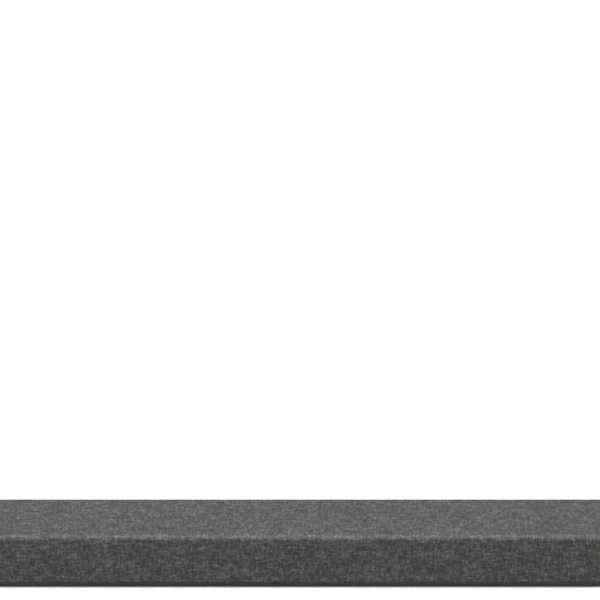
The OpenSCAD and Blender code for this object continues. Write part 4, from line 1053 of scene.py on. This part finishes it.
auxRing = {
    "aboveLow": 5 * mm,  # height of its middle in the socket
    "bore": 1.85 * mm,
    "outer": 3.15 * mm,
    "proud": 0.2 * mm,
    "sunk": 0.3 * mm,
    "edge": 0.1 * mm,
    "outerEdge": 0.15 * mm,
    "steps": 56,
}


def makeAuxRing():
    low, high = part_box("aux_socket")
    x, z = (low.x + high.x) / 2, low.z + auxRing["aboveLow"]
    bore, outer, edge = auxRing["bore"], auxRing["outer"], auxRing["edge"]
    face, back = high.y + auxRing["proud"], high.y - auxRing["sunk"]
    profile = [(back, bore), (face - edge, bore), (face, bore + edge), (face, outer - auxRing["outerEdge"]),
               (face - edge, outer), (back, outer)]
    mesh = bmesh.new()
    turn(mesh, profile, lambda y, u, v: (x + u, y, z + v), auxRing["steps"], closed=True)
    makePiece("auxRing", mesh, materials["socket_metal"])


makeMainsPins()
makeAuxRing()
print("socket details ready")


stage = {
    "floorSize": 80.0,
    "floorColour": grey(0.92),
    "frontBounce": grey(0.30, 0.08),  # the tone by which it lights the bar's front
    "rearBounce": grey(0.85),  # and its sockets
    "bounceTurn": 0.04,  # the bounce changes between this far before and behind the middle
    "skyColour": grey(1.0),
    "skySeen": 1.1,  # how bright the camera sees it
    "skyLight": 0.3,  # how much it lights the bar
}


def makeStage():
    data = bpy.data.meshes.new("floor")
    half = stage["floorSize"] / 2
    corners = [(-half, -half, 0), (half, -half, 0), (half, half, 0), (-half, half, 0)]
    data.from_pydata(corners, [], [(0, 1, 2, 3)])
    floor = bpy.data.objects.new("floor", data)
    bpy.context.scene.collection.objects.link(floor)
    material, tree, shader = newMaterial("floorPaint")
    seen = put(tree, "LightPath").outputs["Is Camera Ray"]
    place = objectPlace(tree)
    depth = put(tree, "SeparateXYZ", {0: place}).outputs["Y"]
    reach = stage["bounceTurn"]
    bounce = mixColours(tree, remap(tree, depth, -reach, reach, 0, 1), stage["frontBounce"],
                        stage["rearBounce"])
    tree.links.new(mixColours(tree, seen, bounce, stage["floorColour"]), shader.inputs["Base Color"])
    shader.inputs["Roughness"].default_value = 0.9
    shader.inputs["Specular IOR Level"].default_value = 0.1
    data.materials.append(material)
    world = bpy.data.worlds.new("studio")
    world.use_nodes = True
    background = world.node_tree.nodes["Background"]
    background.inputs["Color"].default_value = stage["skyColour"]
    seen = put(world.node_tree, "LightPath").outputs["Is Camera Ray"]
    world.node_tree.links.new(remap(world.node_tree, seen, 0, 1, stage["skyLight"], stage["skySeen"]),
                              background.inputs["Strength"])
    bpy.context.scene.world = world


light = {
    "keySize": (2.4, 1.2),
    "keyPlace": (0.2, 0.4, 1.9),
    "keyAim": (0, 0, 0.03),
    "keyPower": 6.0,
    "overheadAngle": 84.0,  # how wide the soft overhead light is
    "overheadTilt": 22.0,  # how far it leans to the front
    "overheadStrength": 4.0,
}


def makeLights():
    key = bpy.data.lights.new("key", "AREA")
    key.shape = "RECTANGLE"
    key.size, key.size_y = light["keySize"]
    key.energy = light["keyPower"]
    lamp = bpy.data.objects.new("key", key)
    lamp.location = light["keyPlace"]
    lamp.rotation_euler = (Vector(light["keyAim"]) - lamp.location).to_track_quat("-Z", "Y").to_euler()
    bpy.context.scene.collection.objects.link(lamp)
    overhead = bpy.data.lights.new("overhead", "SUN")
    overhead.angle = math.radians(light["overheadAngle"])
    overhead.energy = light["overheadStrength"]
    lamp = bpy.data.objects.new("overhead", overhead)
    lamp.rotation_euler = (math.radians(light["overheadTilt"]), 0, 0)
    bpy.context.scene.collection.objects.link(lamp)


view = {
    "distance": 2.42,  # from the camera to the bar's middle
    "elevation": 25.9,  # how far the camera looks down on the bar
    "aimAbove": 6.047,  # the bar lies this many degrees below the middle of the frame
    "fieldOfView": 14.97,
}


def makeCamera():
    camera = bpy.data.cameras.new("camera")
    camera.sensor_fit = "HORIZONTAL"
    camera.angle = math.radians(view["fieldOfView"])
    eye = bpy.data.objects.new("camera", camera)
    middle = Vector((0, 0, (panLow.z + barHigh.z) / 2))
    tilt = math.radians(view["elevation"])
    eye.location = middle + view["distance"] * Vector((0, -math.cos(tilt), math.sin(tilt)))
    eye.rotation_euler = (math.radians(90 - view["elevation"] + view["aimAbove"]), 0, 0)
    bpy.context.scene.collection.objects.link(eye)
    bpy.context.scene.camera = eye


makeStage()
makeLights()
makeCamera()
bpy.context.scene.view_settings.view_transform = "Standard"
print("stage, lights and camera ready")
